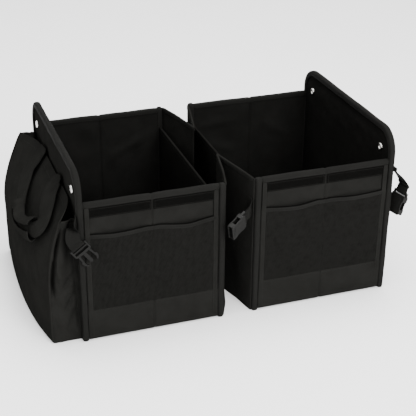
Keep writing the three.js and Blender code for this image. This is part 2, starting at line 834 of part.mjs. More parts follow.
function maleBuckle() {
  const half = BUCKLE_WIDTH / 2;
  const frame = outline([
    [-half, LOOP_SLOT],
    [half, LOOP_SLOT],
    [half, MALE_FRAME_LENGTH - PRONG_BARB],
    [half - PRONG_BARB, MALE_FRAME_LENGTH],
    [PRONG_BARB - half, MALE_FRAME_LENGTH],
    [-half, MALE_FRAME_LENGTH - PRONG_BARB],
  ]);
  const root = MALE_FRAME_LENGTH - PLATE_EDGE;
  const tip = MALE_FRAME_LENGTH + PRONG_LENGTH;
  const outer = half - PRONG_BARB - 1;
  const inner = outer - PRONG_WIDTH;
  const barb = root + PRONG_LENGTH / 2;
  const nose = PRONG_WIDTH / 2;
  const prong = [
    [inner, root],
    [outer, root],
    [outer, barb],
    [outer + PRONG_BARB, barb + PRONG_BARB],
    [outer + PRONG_BARB, barb + PRONG_BARB_LENGTH],
    [outer, tip - nose],
    [outer - nose, tip],
    [inner + PLATE_EDGE, tip],
    [inner, tip - nose],
  ];
  const centre = CENTRE_PRONG_WIDTH / 2;
  const middle = outline([
    [-centre, root],
    [centre, root],
    [centre, tip - 2 * nose],
    [centre - nose / 2, tip - nose],
    [nose / 2 - centre, tip - nose],
    [-centre, tip - 2 * nose],
  ]);
  const otherSide = prong.map(([x, z]) => [-x, z]).reverse();
  let body = barAndArms(MALE_THICK, LOOP_SLOT + MALE_LADDER_BAR);
  for (const shape of [frame, outline(prong), outline(otherSide), middle]) {
    body = body.add(solid(plate(shape, MALE_THICK, PLATE_EDGE)));
  }
  const slotHalf = half - BUCKLE_ARM;
  const slotFrom = LOOP_SLOT + MALE_LADDER_BAR;
  body = body.subtract(solid(box([-slotHalf, slotHalf], [-MALE_THICK, MALE_THICK], [slotFrom, slotFrom + MALE_SLOT])));
  return fromSolid(body);
}

// Straps: a flat band from its seam to the buckle's bar, ending in a loop sewn round the bar

const vector = ([x, y, z]) => new THREE.Vector3(x, y, z);

function strap(stations, hang) {
  const along = vector(hang.along).normalize();
  const across = vector(hang.across).normalize();
  const bar = vector(hang.bar);
  const reach = LOOP_INNER + WEBBING_THICK * LOOP_SEAM;
  const loopWidth = WEBBING - 2 * CLEAR;
  const route = stations.map(([at, side]) => ({ at: vector(at), across: vector(side), width: WEBBING }));
  route.push({ at: bar.clone().addScaledVector(along, -3 * LOOP_OUTER), across, width: WEBBING });
  route.push({ at: bar.clone().addScaledVector(along, -reach), across, width: WEBBING });
  const ring = new THREE.Shape();
  ring.absarc(0, 0, LOOP_OUTER, 0, 2 * Math.PI, false);
  const hole = new THREE.Path();
  hole.absarc(0, 0, LOOP_INNER, 0, 2 * Math.PI, true);
  ring.holes.push(hole);
  const loop = new THREE.ExtrudeGeometry(ring, { depth: loopWidth, bevelEnabled: false, curveSegments: 6 });
  loop.translate(0, 0, -loopWidth / 2);
  const third = new THREE.Vector3().crossVectors(across, along);
  loop.applyMatrix4(new THREE.Matrix4().makeBasis(along, third, across).setPosition(bar));
  const band = ribbon(route, WEBBING_THICK, 12);
  return fromSolid(solid(band).add(solid(loop)));
}

function placed(geometry, hang) {
  const across = vector(hang.across).normalize();
  const along = vector(hang.along).normalize();
  const through = new THREE.Vector3().crossVectors(along, across);
  return geometry.applyMatrix4(
    new THREE.Matrix4().makeBasis(across, through, along).setPosition(vector(hang.bar)),
  );
}

const STRAP_ROOT_HEIGHT = RIM_HEIGHT - STRAP_DROP;
const RIGHT_FACE = TOTAL + CLEAR + WEBBING_THICK / 2;
const LEFT_FACE = -CLEAR - WEBBING_THICK / 2;
const up = [0, 0, 1];

// The left strap leaves the end binding and hangs across the front of the left box
const leftHang = {
  bar: [-2, BINDING_FRONT - STRAP_STAND_OFF - 1, STRAP_ROOT_HEIGHT - LEFT_STRAP_HANG],
  along: [0.6, 0, -0.8],
  across: [0.8, 0, 0.6],
};
const leftStations = [
  [[LEFT_FACE, BINDING_BACK - 1, STRAP_ROOT_HEIGHT], up],
  [[LEFT_FACE, -2, STRAP_ROOT_HEIGHT], up],
  [[-5, BINDING_FRONT - STRAP_STAND_OFF + 1, STRAP_ROOT_HEIGHT - 6], [0.35, 0, 0.94]],
];

// The middle strap leaves the gusset beside the right box's post and sticks out forward
const middleHang = {
  bar: [
    RIGHT_INNER_X - MIDDLE_STRAP_REACH,
    BINDING_FRONT - STRAP_STAND_OFF,
    STRAP_ROOT_HEIGHT - MIDDLE_STRAP_HANG,
  ],
  along: [-0.8, -0.47, -0.37],
  across: [-0.224, -0.33, 0.916],
};
const middleStations = [
  [[RIGHT_INNER_X - CLOTH - 4.5, 14, STRAP_ROOT_HEIGHT - MIDDLE_STRAP_HANG / 2 + 1], up],
  [[RIGHT_INNER_X - CLOTH - 3, 4, STRAP_ROOT_HEIGHT - MIDDLE_STRAP_HANG / 2 - 1], up],
];

// The right strap leaves the outer face of the right end wall and hangs beside it
const rightHang = {
  bar: [TOTAL + RIGHT_STRAP_REACH, 5, STRAP_ROOT_HEIGHT - RIGHT_STRAP_HANG],
  along: [-0.36, -0.08, -0.93],
  across: [0.24, -0.965, -0.01],
};
const rightStations = [
  [[RIGHT_FACE, BINDING_BACK - 5, STRAP_ROOT_HEIGHT + 18], [0, -1, 0]],
  [[RIGHT_FACE + 1, BINDING_BACK - 5, STRAP_ROOT_HEIGHT + 10], [0, -1, 0]],
  [[TOTAL + 17, 3, STRAP_ROOT_HEIGHT - 6], [0.1, -1, 0]],
];

const fittings = [
  ["left", leftHang, leftStations, maleBuckle],
  ["middle", middleHang, middleStations, femaleBuckle],
  ["right", rightHang, rightStations, femaleBuckle],
];
for (const [side, hang, stations, buckle] of fittings) {
  add(`${side}_front_strap`, strap(stations, hang), tape());
  add(`${side}_front_buckle`, placed(buckle(), hang), plastic());
  add(`${side}_back_strap`, toBack(strap(stations, hang)), tape());
  add(`${side}_back_buckle`, toBack(placed(buckle(), hang)), plastic());
}

// The origin goes to the middle of the base
organizer.updateMatrixWorld(true);
const bounds = new THREE.Box3().setFromObject(organizer, true);
const centre = bounds.getCenter(new THREE.Vector3());
organizer.position.set(-centre.x, -centre.y, -bounds.min.z);
organizer.updateMatrixWorld(true);

export default organizer;
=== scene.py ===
import math
import bmesh
import bpy
import numpy as np
from mathutils import Matrix, Vector


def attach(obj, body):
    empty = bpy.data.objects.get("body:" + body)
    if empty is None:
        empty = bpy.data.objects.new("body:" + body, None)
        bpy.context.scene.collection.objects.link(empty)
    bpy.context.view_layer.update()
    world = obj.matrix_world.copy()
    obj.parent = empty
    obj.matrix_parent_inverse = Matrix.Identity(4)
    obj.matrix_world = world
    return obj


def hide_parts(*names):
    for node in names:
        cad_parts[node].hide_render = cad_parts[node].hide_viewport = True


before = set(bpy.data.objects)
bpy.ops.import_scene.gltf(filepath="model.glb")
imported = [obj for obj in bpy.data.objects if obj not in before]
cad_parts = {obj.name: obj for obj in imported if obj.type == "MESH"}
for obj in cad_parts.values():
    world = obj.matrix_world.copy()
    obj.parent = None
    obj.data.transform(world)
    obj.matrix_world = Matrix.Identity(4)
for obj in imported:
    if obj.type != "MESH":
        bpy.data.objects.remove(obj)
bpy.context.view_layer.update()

# Sizes in millimetres, in the part's own layout: X from the left end, Y from the front walls' face, Z up
ORIGIN = np.array([266.23943, 184.0, 0.0])
LEFT_BOX, RIGHT_BOX, MOUTH, DEPTH, RIM = 258.0, 266.0, 55.0, 368.0, 265.0
RIGHT_X = LEFT_BOX + MOUTH
TOTAL = RIGHT_X + RIGHT_BOX
MID_Y = DEPTH / 2
TOP = RIM + 53.0
FLAP_RADIUS = 44.0
BOARD, CLOTH, CLEAR = 5.0, 2.5, 0.3
BINDING, PROUD, INSET = 11.0, 5.0, 3.0
RIM_BINDING = 10.5
BOARD_GAP = BOARD + 0.6  # how wide a folded tape stands open for the board
WALL_LOW, WALL_TOP = CLOTH + CLEAR, RIM - 1.5 - CLEAR
INNER_TOP = RIM - 40.0
SNAP_Y, SNAP_Z = 37.0, RIM + 10.0
HOOK_TOP = RIM - RIM_BINDING - CLEAR
HOOK_LOW = HOOK_TOP - 18.0
MESH_MOUTH, BAND = RIM - 59.0, 60.0
POCKET_INSET, POCKET_TOP, POCKET_CLOTH = 8.0, RIM - 14.0, 2.0
BODY = "organizer"
SEAM = 2.4  # how far a cloth edge runs into the tape that binds it
SKIN = 0.8  # the share of a soft cloth's thickness that its sheet is drawn with
STITCH_PITCH, STITCH, THREAD_RADIUS = 3.4, 2.5, 0.33
STITCH_ROW = 0.74  # how far in a tape's stitches run, as a share of its depth
AHEAD, DOWN = (0, -1, 0), (0, 0, -1)


def in_scene(name, data):
    made = bpy.data.objects.new(name, data)
    bpy.context.scene.collection.objects.link(made)
    return made


# The camera comes first: the photograph's viewing angle
CAMERA_AT = (-0.55874, -1.64860, 1.01660)
CAMERA_RIGHT = Vector((0.94385, -0.33025, 0.00874))
CAMERA_UP = Vector((0.14296, 0.43215, 0.89040))
camera = in_scene("camera", bpy.data.cameras.new("camera"))
camera.data.sensor_width = 36.0
camera.data.lens = 88.82
camera.data.clip_end = 20.0
turn = Matrix((CAMERA_RIGHT, CAMERA_UP, CAMERA_RIGHT.cross(CAMERA_UP))).transposed()
camera.matrix_world = Matrix.Translation(CAMERA_AT) @ turn.to_4x4()
bpy.context.scene.camera = camera


# ---- Materials ----

class Nodes:
    """A material's node tree, with short calls for its nodes."""

    def __init__(self, name, rough, specular, metallic=0.0):
        self.material = bpy.data.materials.new(name)
        self.material.use_nodes = True
        self.tree = self.material.node_tree
        self.shader = self.tree.nodes["Principled BSDF"]
        self.fill(self.shader, {"Roughness": rough, "Specular IOR Level": specular, "Metallic": metallic})

    def fill(self, node, inputs):
        """Gives each input its value, or the socket that feeds it."""
        for key, value in inputs.items():
            if isinstance(value, bpy.types.NodeSocket):
                self.tree.links.new(value, node.inputs[key])
            else:
                node.inputs[key].default_value = value

    def node(self, kind, inputs, output=0, **settings):
        made = self.tree.nodes.new(kind)
        for key, value in settings.items():
            setattr(made, key, value)
        self.fill(made, inputs)
        return made.outputs[output]

    def math(self, operation, *values):
        return self.node("ShaderNodeMath", dict(enumerate(values)), operation=operation)

    def wave(self, value, pitch, kind="SINE"):
        return self.math(kind, self.math("MULTIPLY", value, 2 * math.pi / pitch))

    def flat(self):
        """U and V in metres over the flat cloth."""
        place = self.node("ShaderNodeUVMap", {}, uv_map="cloth")
        split = self.node("ShaderNodeSeparateXYZ", {0: place}).node
        return split.outputs[0], split.outputs[1]

    def noise(self, scale, detail=3.0, rough=0.55):
        where = self.node("ShaderNodeTexCoord", {}, "Object")
        inputs = {"Vector": where, "Scale": scale, "Detail": detail, "Roughness": rough}
        return self.node("ShaderNodeTexNoise", inputs, "Fac")

    def span(self, value, low, high, from_low=0.0, from_high=1.0):
        inputs = {"Value": value, "From Min": from_low, "From Max": from_high, "To Min": low, "To Max": high}
        return self.node("ShaderNodeMapRange", inputs, "Result")

    def tint(self, value, dark, light):
        inputs = {"Factor": value, "A": (*dark, 1), "B": (*light, 1)}
        self.fill(self.shader, {"Base Color": self.node("ShaderNodeMix", inputs, "Result", data_type="RGBA")})

    def shades(self, value, tone, dark, light):
        """From a darker to a lighter shade of a tone, both slightly warm."""
        self.tint(value, *((tone * k, tone * k * 0.99, tone * k * 0.91) for k in (dark, light)))

    def rough(self, value, low, high):
        self.fill(self.shader, {"Roughness": self.span(value, low, high)})

    def bump(self, height, depth, before=None):
        inputs = {"Strength": 1.0, "Distance": depth, "Height": height}
        if before is not None:
            inputs["Normal"] = before
        normal = self.node("ShaderNodeBump", inputs, "Normal")
        self.fill(self.shader, {"Normal": normal})
        return normal


def woven(name, tone, rough=0.80, crumple=0.0006, pitch=0.00075):
    """Plain weave: threads over and under, with soft crumpling and dust; the colour is partly painted shade, darker
    in the weave's valleys.
    """
    m = Nodes(name, rough, 0.0)
    u, v = m.flat()
    across, along = (m.math("ABSOLUTE", m.wave(way, 2 * pitch)) for way in (u, v))
    squares = {0: m.math("MULTIPLY", u, 1 / pitch), 1: m.math("MULTIPLY", v, 1 / pitch), 2: 0.5}
    place = m.node("ShaderNodeCombineXYZ", squares)
    check = m.node("ShaderNodeTexChecker", {"Vector": place, "Scale": 1.0}, "Fac")
    thread = m.node("ShaderNodeMix", {"Factor": check, "A": across, "B": along}, "Result", data_type="FLOAT")
    dust = m.span(m.noise(28.0, 6.0, 0.7), 0.25, 0.75, 0.3, 0.7)
    # The colour mixes painted shade, darker where the weave's bump dips, with dust of random tone.
    shade = m.math("MULTIPLY_ADD", thread, 0.35, m.math("MULTIPLY", dust, 0.65))
    m.shades(shade, tone, 0.45, 1.5)
    m.rough(dust, rough - 0.08, rough + 0.10)
    m.bump(thread, 0.00010, m.bump(m.noise(38.0, 3.0, 0.5), crumple))
    return m.material


def netting(name, tone, pitch=0.0021):
    """Knitted mesh: a honeycomb of dark holes between raised threads."""
    m = Nodes(name, 0.80, 0.0)
    u, v = m.flat()
    turns = 2 * math.pi / pitch
    slant = m.math("MULTIPLY", v, turns * math.sqrt(3) / 2)
    half = m.math("MULTIPLY", u, turns / 2)
    second, third = (m.math("COSINE", m.math(way, half, slant)) for way in ("ADD", "SUBTRACT"))
    total = m.math("ADD", m.wave(u, pitch, "COSINE"), m.math("ADD", second, third))
    hole = m.span(total, 1.0, 0.0, -0.6, 1.6)
    shade = m.math("MULTIPLY", hole, m.span(m.noise(130.0, 4.0, 0.7), 0.72, 1.28, 0.3, 0.7))
    m.shades(shade, tone, 0.10, 1.35)
    m.bump(hole, 0.00030, m.bump(m.noise(30.0, 3.0, 0.5), 0.0006))
    return m.material


def ribbed(name, tone, pitch=0.0011, depth=0.00012, rough=0.70, slant=0.0):
    """Narrow woven tape: fine ribs across its length, with painted shade in the grooves between them."""
    m = Nodes(name, rough, 0.02)
    u, v = m.flat()
    if slant:
        v = m.math("MULTIPLY_ADD", m.math("PINGPONG", u, 0.003), slant, v)
    height = m.math("MULTIPLY_ADD", m.wave(u, 0.0007), 0.25, m.wave(v, pitch))
    dust = m.noise(14.0, 4.0, 0.6)
    ribs = m.span(height, 0.0, 1.0, -1.2, 1.2)
    # The colour mixes painted shade, darker in the grooves where the rib bump dips, with dust of random tone.
    shade = m.math("MULTIPLY_ADD", ribs, 0.4, m.math("MULTIPLY", dust, 0.6))
    m.shades(shade, tone, 0.5, 1.5)
    m.rough(dust, rough - 0.06, rough + 0.10)
    m.bump(height, depth, m.bump(m.noise(70.0, 3.0, 0.5), 0.0004))
    return m.material


def hooked(name, tone, pitch=0.0013):
    """Hook tape: rows of tiny stiff hooks, with painted shade on the ground between them."""
    m = Nodes(name, 0.85, 0.0)
    u, v = m.flat()
    dots = m.math("MULTIPLY", m.wave(u, pitch), m.wave(v, pitch))
    fuzz = m.noise(900.0, 2.0, 0.6)
    # Painted shade: the colour is darker on the ground between the hooks, where the bump dips, with fuzz of random
    # tone.
    shade = m.math("MULTIPLY", m.span(dots, 0.0, 1.0, -0.3, 1.0), fuzz)
    m.shades(shade, tone, 0.35, 2.2)
    m.bump(dots, 0.0004, m.bump(fuzz, 0.0003))
    return m.material


def moulded(name, tone, rough):
    """Moulded plastic: a fine grain and faint handling marks."""
    m = Nodes(name, rough, 0.08)
    m.shades(m.noise(120.0, 4.0, 0.65), tone, 0.7, 1.3)
    m.rough(m.noise(60.0, 5.0, 0.7), rough - 0.08, rough + 0.14)
    m.bump(m.noise(160.0, 2.0, 0.5), 0.00008, m.bump(m.noise(900.0, 2.0, 0.5), 0.00003))
    return m.material


def plated(name):
    """Nickel plate: bright, with fine scratches and slight clouding."""
    m = Nodes(name, 0.16, 0.5, 1.0)
    m.tint(m.noise(300.0, 4.0, 0.6), (0.58, 0.56, 0.53), (0.86, 0.85, 0.82))
    m.rough(m.noise(700.0, 3.0, 0.7), 0.10, 0.30)
    m.bump(m.noise(1400.0, 3.0, 0.6), 0.00002)
    return m.material


# Each look is a material and the slot that it goes to
# A darker copy of the cloth for the inward sides, floors, base pads and inner walls: painted shade inside the boxes.
SHADED_CLOTH = woven("black_cloth_painted_inner_shade", 0.0058, rough=0.82)
CLOTH_LOOK = woven("black_oxford_cloth", 0.0088), "black_cloth"
SHADED_CLOTH_LOOK = SHADED_CLOTH, "black_cloth"
BASE_LOOK = SHADED_CLOTH, "base_board"
SOFT_LOOK = woven("black_soft_cloth", 0.0088, crumple=0.0012), "black_cloth"
MESH_LOOK = netting("black_netting", 0.0066), "pocket_mesh"
TAPE_LOOK = ribbed("black_binding_tape", 0.0076), "binding_tape"
WEB_LOOK = ribbed("black_webbing", 0.0078, pitch=0.0016, depth=0.00025, slant=0.6), "webbing"
HOOK_LOOK = hooked("black_hook_tape", 0.0058), "hook_tape"
# A near-black cloth of painted shade, for the dark gap behind each pocket's mouth tape.
SHADE_LOOK = woven("black_painted_gap_shade", 0.0022), "binding_tape"
THREAD_LOOK = ribbed("black_thread", 0.0130, pitch=0.0006, depth=0.00005, rough=0.45), "binding_tape"
PLASTIC_LOOK = moulded("black_buckle_plastic", 0.0058, rough=0.38), "buckle_plastic"
NICKEL_LOOK = plated("nickel"), "snap_nickel"


# ---- Mesh building ----

def smooth(t):
    t = np.clip(t, 0.0, 1.0)
    return t * t * (3 - 2 * t)


def fade(a, low, high, width):
    """0 at both ends and 1 further in than the width."""
    return smooth(np.minimum(a - low, high - a) / width)


def bell(a, at, width):
    return np.exp(-(((a - at) / width) ** 2))


def field(seed, longest, shortest, count=10, lean=None):
    """A smooth random height over a flat cloth, mostly between -1 and 1."""
    rng = np.random.RandomState(seed)
    lengths = np.exp(rng.uniform(math.log(shortest), math.log(longest), count))
    turns = rng.uniform(0, math.pi, count) if lean is None else rng.normal(lean, 0.35, count)
    phases = rng.uniform(0, 2 * math.pi, count)
    weights = lengths / lengths.sum() * 1.8

    def height(a, b):
        total = 0.0
        for length, turned, phase, weight in zip(lengths, turns, phases, weights):
            along = a * math.cos(turned) + b * math.sin(turned)
            total = total + weight * np.sin(2 * math.pi * along / length + phase)
        return total

    return height


def drift(seed, longest, shortest, along):
    """The same along a line."""
    return field(seed, longest, shortest)(along, 0 * along)


def creased(a, b, creases):
    """Ridges over a flat cloth, each from one place to another, with a depth and a width."""
    total = 0.0
    for (a0, b0), (a1, b1), depth, wide in creases:
        run = np.array([a1 - a0, b1 - b0], float)
        share = np.clip(((a - a0) * run[0] + (b - b0) * run[1]) / (run @ run), 0, 1)
        off = np.hypot(a - a0 - share * run[0], b - b0 - share * run[1])
        total = total + depth * np.exp(-((off / wide) ** 2)) * np.sin(math.pi * (0.12 + 0.8 * share))
    return total


def unit(v):
    v = np.asarray(v, float)
    return v / np.maximum(np.linalg.norm(v, axis=-1, keepdims=True), 1e-9)


def stack(x, y, z):
    return np.stack(np.broadcast_arrays(np.asarray(x, float), y, z), -1)


def spaced(low, high, step):
    return np.linspace(low, high, max(2, int(round((high - low) / step)) + 1))


def merged(*parts):
    return np.unique(np.concatenate(parts))


def closed(grid):
    """The grid with its first column once more at its end."""
    return np.concatenate([grid, grid[:, :1]], 1)


def flat_places(points):
    """Where a grid of points lies on the flat cloth, in metres: how far along its row and its column."""
    places = []
    for axis in (1, 0):
        steps = np.linalg.norm(np.diff(points, axis=axis), axis=-1)
        start = np.zeros_like(np.take(steps, [0], axis=axis))
        places.append(np.concatenate([start, np.cumsum(steps, axis=axis)], axis=axis) * 0.001)
    return np.stack(places, -1)


def distances(line):
    """How far along a line each of its points is."""
    return np.concatenate([[0], np.cumsum(np.linalg.norm(np.diff(line, axis=0), axis=1))])


def sampled(at, reach, line):
    return np.stack([np.interp(at, reach, column) for column in line.T], 1)


class Soup:
    """Faces gathered into one mesh: points in millimetres, and every corner's place on the flat cloth."""

    def __init__(self):
        self.points, self.faces, self.flats, self.count = [], [], [], 0
        self.sewn = []

    def put(self, points):
        """Adds points alone, and gives the first one's number."""
        self.points.append(np.asarray(points, float).reshape(-1, 3))
        self.count += len(self.points[-1])
        return self.count - len(self.points[-1])

    def add(self, points, faces, flats):
        first = self.put(points)
        self.faces += [[int(i) + first for i in face] for face in faces]
        self.flats += flats

    def cells(self, index, flat):
        """A face in each cell of a grid of points' numbers."""
        corners = [np.stack([g[:-1, :-1], g[:-1, 1:], g[1:, 1:], g[1:, :-1]], 2) for g in (index, flat)]
        self.faces += corners[0].reshape(-1, 4).tolist()
        self.flats += list(corners[1].reshape(-1, 4, 2))

    def caps(self, index, flats):
        for row in (0, -1):
            self.faces.append(index[row].tolist())
            self.flats.append(flats[row])

    def shell(self, outer, inner):
        """A closed sheet between two grids of points."""
        flat = flat_places(outer)
        layer = outer[..., 0].size
        index = self.put([outer, inner]) + np.arange(layer).reshape(outer.shape[:2])
        self.cells(index, flat)
        self.cells(index[:, ::-1] + layer, flat[:, ::-1])
        for edge in (np.s_[0], np.s_[-1], np.s_[:, 0], np.s_[:, -1]):
            self.cells(np.stack([index[edge], index[edge] + layer]), np.stack([flat[edge], flat[edge] + 0.002]))
        return self

    def sweep(self, path, up, section, size=None):
        """A closed section carried along a path. Its first number runs along the side, its second along up."""
        path = np.asarray(path, float)
        along = unit(np.gradient(path, axis=0))
        up = np.broadcast_to(np.asarray(up, float), path.shape)
        side = unit(np.cross(along, up))
        up = np.cross(side, along)
        if section.ndim == 2:
            section = np.broadcast_to(section, (len(path), *section.shape))
        if size is not None:
            middle = section.mean(1, keepdims=True)
            section = middle + (section - middle) * size[:, None, None]
        rings = path[:, None] + side[:, None] * section[..., :1] + up[:, None] * section[..., 1:]
        index = self.put(rings) + np.arange(rings[..., 0].size).reshape(rings.shape[:2])
        self.cells(closed(index), flat_places(closed(rings)))
        self.caps(index, section * 0.001)
        return path, side, up

    def stitches(self, line, normal):
        """A row of stitches along a line, each a short rounded bead that dips at its ends."""
        reach = distances(line)
        count = max(1, int(reach[-1] / STITCH_PITCH))
        centres = (np.arange(count) + 0.5) * reach[-1] / count
        at, low, high = (sampled(centres + shift, reach, line) for shift in (0, -0.4, 0.4))
        out = unit(sampled(centres, reach, normal))
        along = unit(high - low)
        side = np.cross(along, out)
        tips = [(at + along * STITCH * end - out * THREAD_RADIUS * 0.9)[:, None] for end in (-0.5, 0.5)]
        rings = [
            np.stack([at + along * STITCH * end + turned * THREAD_RADIUS for turned in (side, out, -side, -out)], 1)
            for end in (-0.28, 0.28)
        ]
        pattern = [(0, 1, 2), (0, 2, 3), (0, 3, 4), (0, 4, 1)]
        pattern += [(1, 5, 6, 2), (2, 6, 7, 3), (3, 7, 8, 4), (4, 8, 5, 1)]
        pattern += [(9, 6, 5), (9, 7, 6), (9, 8, 7), (9, 5, 8)]
        spots = np.array([(0, 0), *((k, row) for row in (0.4, 1.6) for k in range(4)), (0, 2)]) * 0.001
        faces = [[i + 10 * n for i in face] for n in range(count) for face in pattern]
        flats = [spots[list(face)] for face in pattern] * count
        self.add(np.concatenate([tips[0], *rings, tips[1]], 1), faces, flats)

    def sew(self, line, normal):
        """Keeps a row of stitches for when the piece is made."""
        line = np.asarray(line, float)
        self.sewn.append((line, np.broadcast_to(np.asarray(normal, float), line.shape)))

    def changed(self, basis, shift):
        """A copy that is turned or mirrored by the basis, and then moved."""
        made = Soup()
        made.faces, made.flats, made.count = list(self.faces), list(self.flats), self.count
        made.points = [p @ basis + shift for p in self.points]
        made.sewn = [(line @ basis + shift, normal @ basis) for line, normal in self.sewn]
        return made

    def to_right(self):
        """The left end's piece at the right end."""
        return self.changed(np.diag([-1.0, 1, 1]), [TOTAL, 0, 0])

    def to_back(self):
        """The front's piece at the back."""
        return self.changed(np.diag([1.0, -1, 1]), [0, DEPTH, 0])

    def join(self, other):
        self.add(np.concatenate(other.points), other.faces, other.flats)
        self.sewn += other.sewn

    def make(self, name, look, node="", body=BODY, sharp=42.0):
        material, slot = look
        mesh = bpy.data.meshes.new(name)
        mesh.from_pydata(((np.concatenate(self.points) - ORIGIN) * 0.001).tolist(), [], self.faces)
        layer = mesh.uv_layers.new(name="cloth")
        layer.data.foreach_set("uv", np.concatenate(self.flats).astype(np.float32).ravel())
        work = bmesh.new()
        work.from_mesh(mesh)
        bmesh.ops.recalc_face_normals(work, faces=work.faces)
        work.to_mesh(mesh)
        work.free()
        mesh.shade_smooth()
        mesh.set_sharp_from_angle(angle=math.radians(sharp))
        mesh.materials.append(material)
        made = in_scene(name, mesh)
        if node:
            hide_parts(node)
        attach(made, body)
        for line, normal in self.sewn:
            seams.stitches(line, normal)
        return made


seams = Soup()


def shaded_inside(piece, *inward):
    """The side that faces inward gets the darker copy of the cloth: painted shade inside the boxes."""
    piece.data.materials.append(SHADED_CLOTH)
    for face in piece.data.polygons:
        face.material_index = int(face.normal.dot(Vector(inward)) > 0.5)


def both_ends(soup, name, look, node):
    """The front piece as it is, and its mirror image at the back."""
    return [shape.make(name.format(place), look, node.format(place))
            for place, shape in (("front", soup), ("back", soup.to_back()))]


def tape_section(width, depth, board, fold=2.2):
    """A tape folded over an edge: first number across it, second inward from the edge."""
    half = width / 2
    outer = [
        (-half + 1.15, depth), (-half + 0.55, depth * 0.93), (-half + 0.25, depth * 0.78), (-half, depth * 0.5),
        (-half + 0.2, depth * 0.27), (-half + width * 0.09, depth * 0.11), (-half + width * 0.21, depth * 0.03),
        (-half + width * 0.36, 0.0),
    ]
    ring = outer + [(-s, t) for s, t in reversed(outer)]
    if board:
        gap = board / 2 + 0.15
        ring += [(gap, depth), (gap, fold), (-gap, fold), (-gap, depth)]
    return np.array(ring), 2 * len(outer)


def pill(width, thick, corner=0.45):
    """A flat band's section with rounded edges."""
    radius = thick * corner
    across, through_it = width / 2 - radius, thick / 2 - radius
    ring = []
    for quarter, (right, up) in enumerate(((1, 1), (-1, 1), (-1, -1), (1, -1))):
        for k in range(5):
            angle = math.radians(90 * quarter + 90 * k / 4)
            ring.append((right * across + radius * math.cos(angle), up * through_it + radius * math.sin(angle)))
    return np.array(ring)


def taper(count, ends=(0.72, 0.93)):
    """Ring sizes for a swept piece whose two ends are softly rounded."""
    size = np.ones(count)
    size[: len(ends)] = ends
    size[-len(ends):] = ends[::-1]
    return size


def end_rings(path, reach=1.3):
    """Extra stations just inside both ends of a path, so that the rounding there is short."""
    first, last = (
        path[a] + (path[b] - path[a]) * min(0.5, reach / np.linalg.norm(path[b] - path[a]))
        for a, b in ((0, 1), (-1, -2))
    )
    return np.concatenate([path[:1], [first], path[1:-1], [last], path[-1:]])


def taped(path, up, width, depth, board, seed, pinch=None, lumps=0.08, soup=None):
    """A folded tape sewn along an edge, with slight lumps and a row of stitches on each face."""
    soup = soup or Soup()
    up = np.broadcast_to(np.asarray(up, float), path.shape)
    up = np.concatenate([up[:1], up, up[-1:]])
    path = end_rings(path)
    reach = distances(path)
    wide = 1 + lumps * drift(seed, 110, 22, reach)
    deep = 1 + 0.6 * lumps * drift(seed + 1, 140, 30, reach)
    if pinch is not None:
        wide = wide * (1 - 0.16 * bell(reach, pinch, 1.8))
        deep = deep * (1 - 0.05 * bell(reach, pinch, 2.4))
    base, outer = tape_section(width, depth, board)
    rings = np.repeat(base[None], len(path), 0)
    rings[:, :outer, 0] *= wide[:, None]
    rings[:, :outer, 1] = depth - (depth - rings[:, :outer, 1]) * deep[:, None]
    path, side, inward = soup.sweep(path, up, rings, taper(len(path)))
    for face in (-1, 1):
        line = path + side * face * (width / 2 - 0.12) * wide[:, None] + inward * depth * STITCH_ROW
        soup.sew(line[1:-1], (side * face)[1:-1])
    return soup


# ---- Walls ----

def long_wall(x0, x1, seed, creases=()):
    """A front wall: board in a cloth sleeve, creased down its middle, with sewn strips at its two edges."""
    middle = (x0 + x1) / 2
    xs = merged(spaced(x0 - SEAM, x1 + SEAM, 4.6), middle + np.array([-6, -4, -2.6, -1.3, 0, 1.3, 2.6, 4, 6]))
    x, z = np.meshgrid(xs, spaced(CLOTH * 0.6, WALL_TOP, 5.2))
    fold = bell(x, middle, 2.1)
    loose = fade(x, x0, x1, 22) * fade(z, WALL_LOW, WALL_TOP, 26) * (1 - bell(x, middle, 9))
    slack = field(seed, 190, 60)(x, z)
    sag = field(seed + 40, 150, 45, lean=0.9)(x, z)
    outside = 0.15 + 0.75 * loose * (0.5 + 0.5 * slack) + 1.9 * fold
    inside = BOARD + 0.1 + 2.3 * loose * np.clip(0.45 + 0.8 * sag, -0.4, 1.1) - 1.9 * fold
    inside = inside + creased(x, z, creases) * loose
    soup = Soup().shell(stack(x, outside, z), stack(x, inside, z))
    for n, (at, flip) in enumerate(((x0 + 5.5, 1), (x1 - 5.5, -1))):
        zs = spaced(3.2, RIM - RIM_BINDING + 1.5, 7)
        path = end_rings(stack(at + 0.35 * drift(seed + 10 + n, 130, 40, zs), -1.75, zs))
        soup.sweep(path, AHEAD, pill(8.6, 2.5, 0.46), taper(len(path)))
        for offset in (-2.7, 2.7):
            soup.sew(path[2:-2] + [offset * flip, -1.15, 0], AHEAD)
    return soup


# Creases on the back walls' inner sides: from and to (X, Z), depth and width
REAR_CREASES = {
    "left": (
        ((150, 176), (232, 214), 3.6, 9.0), ((206, 196), (160, 60), -2.6, 12.0), ((60, 214), (96, 120), 2.2, 12.0),
        ((26, 120), (70, 40), 2.0, 10.0),
    ),
    "right": (
        ((330, 214), (420, 222), 2.6, 9.0), ((345, 180), (420, 150), 2.8, 10.0), ((470, 210), (540, 170), 2.4, 10.0),
        ((480, 120), (520, 40), 2.2, 12.0),
    ),
}


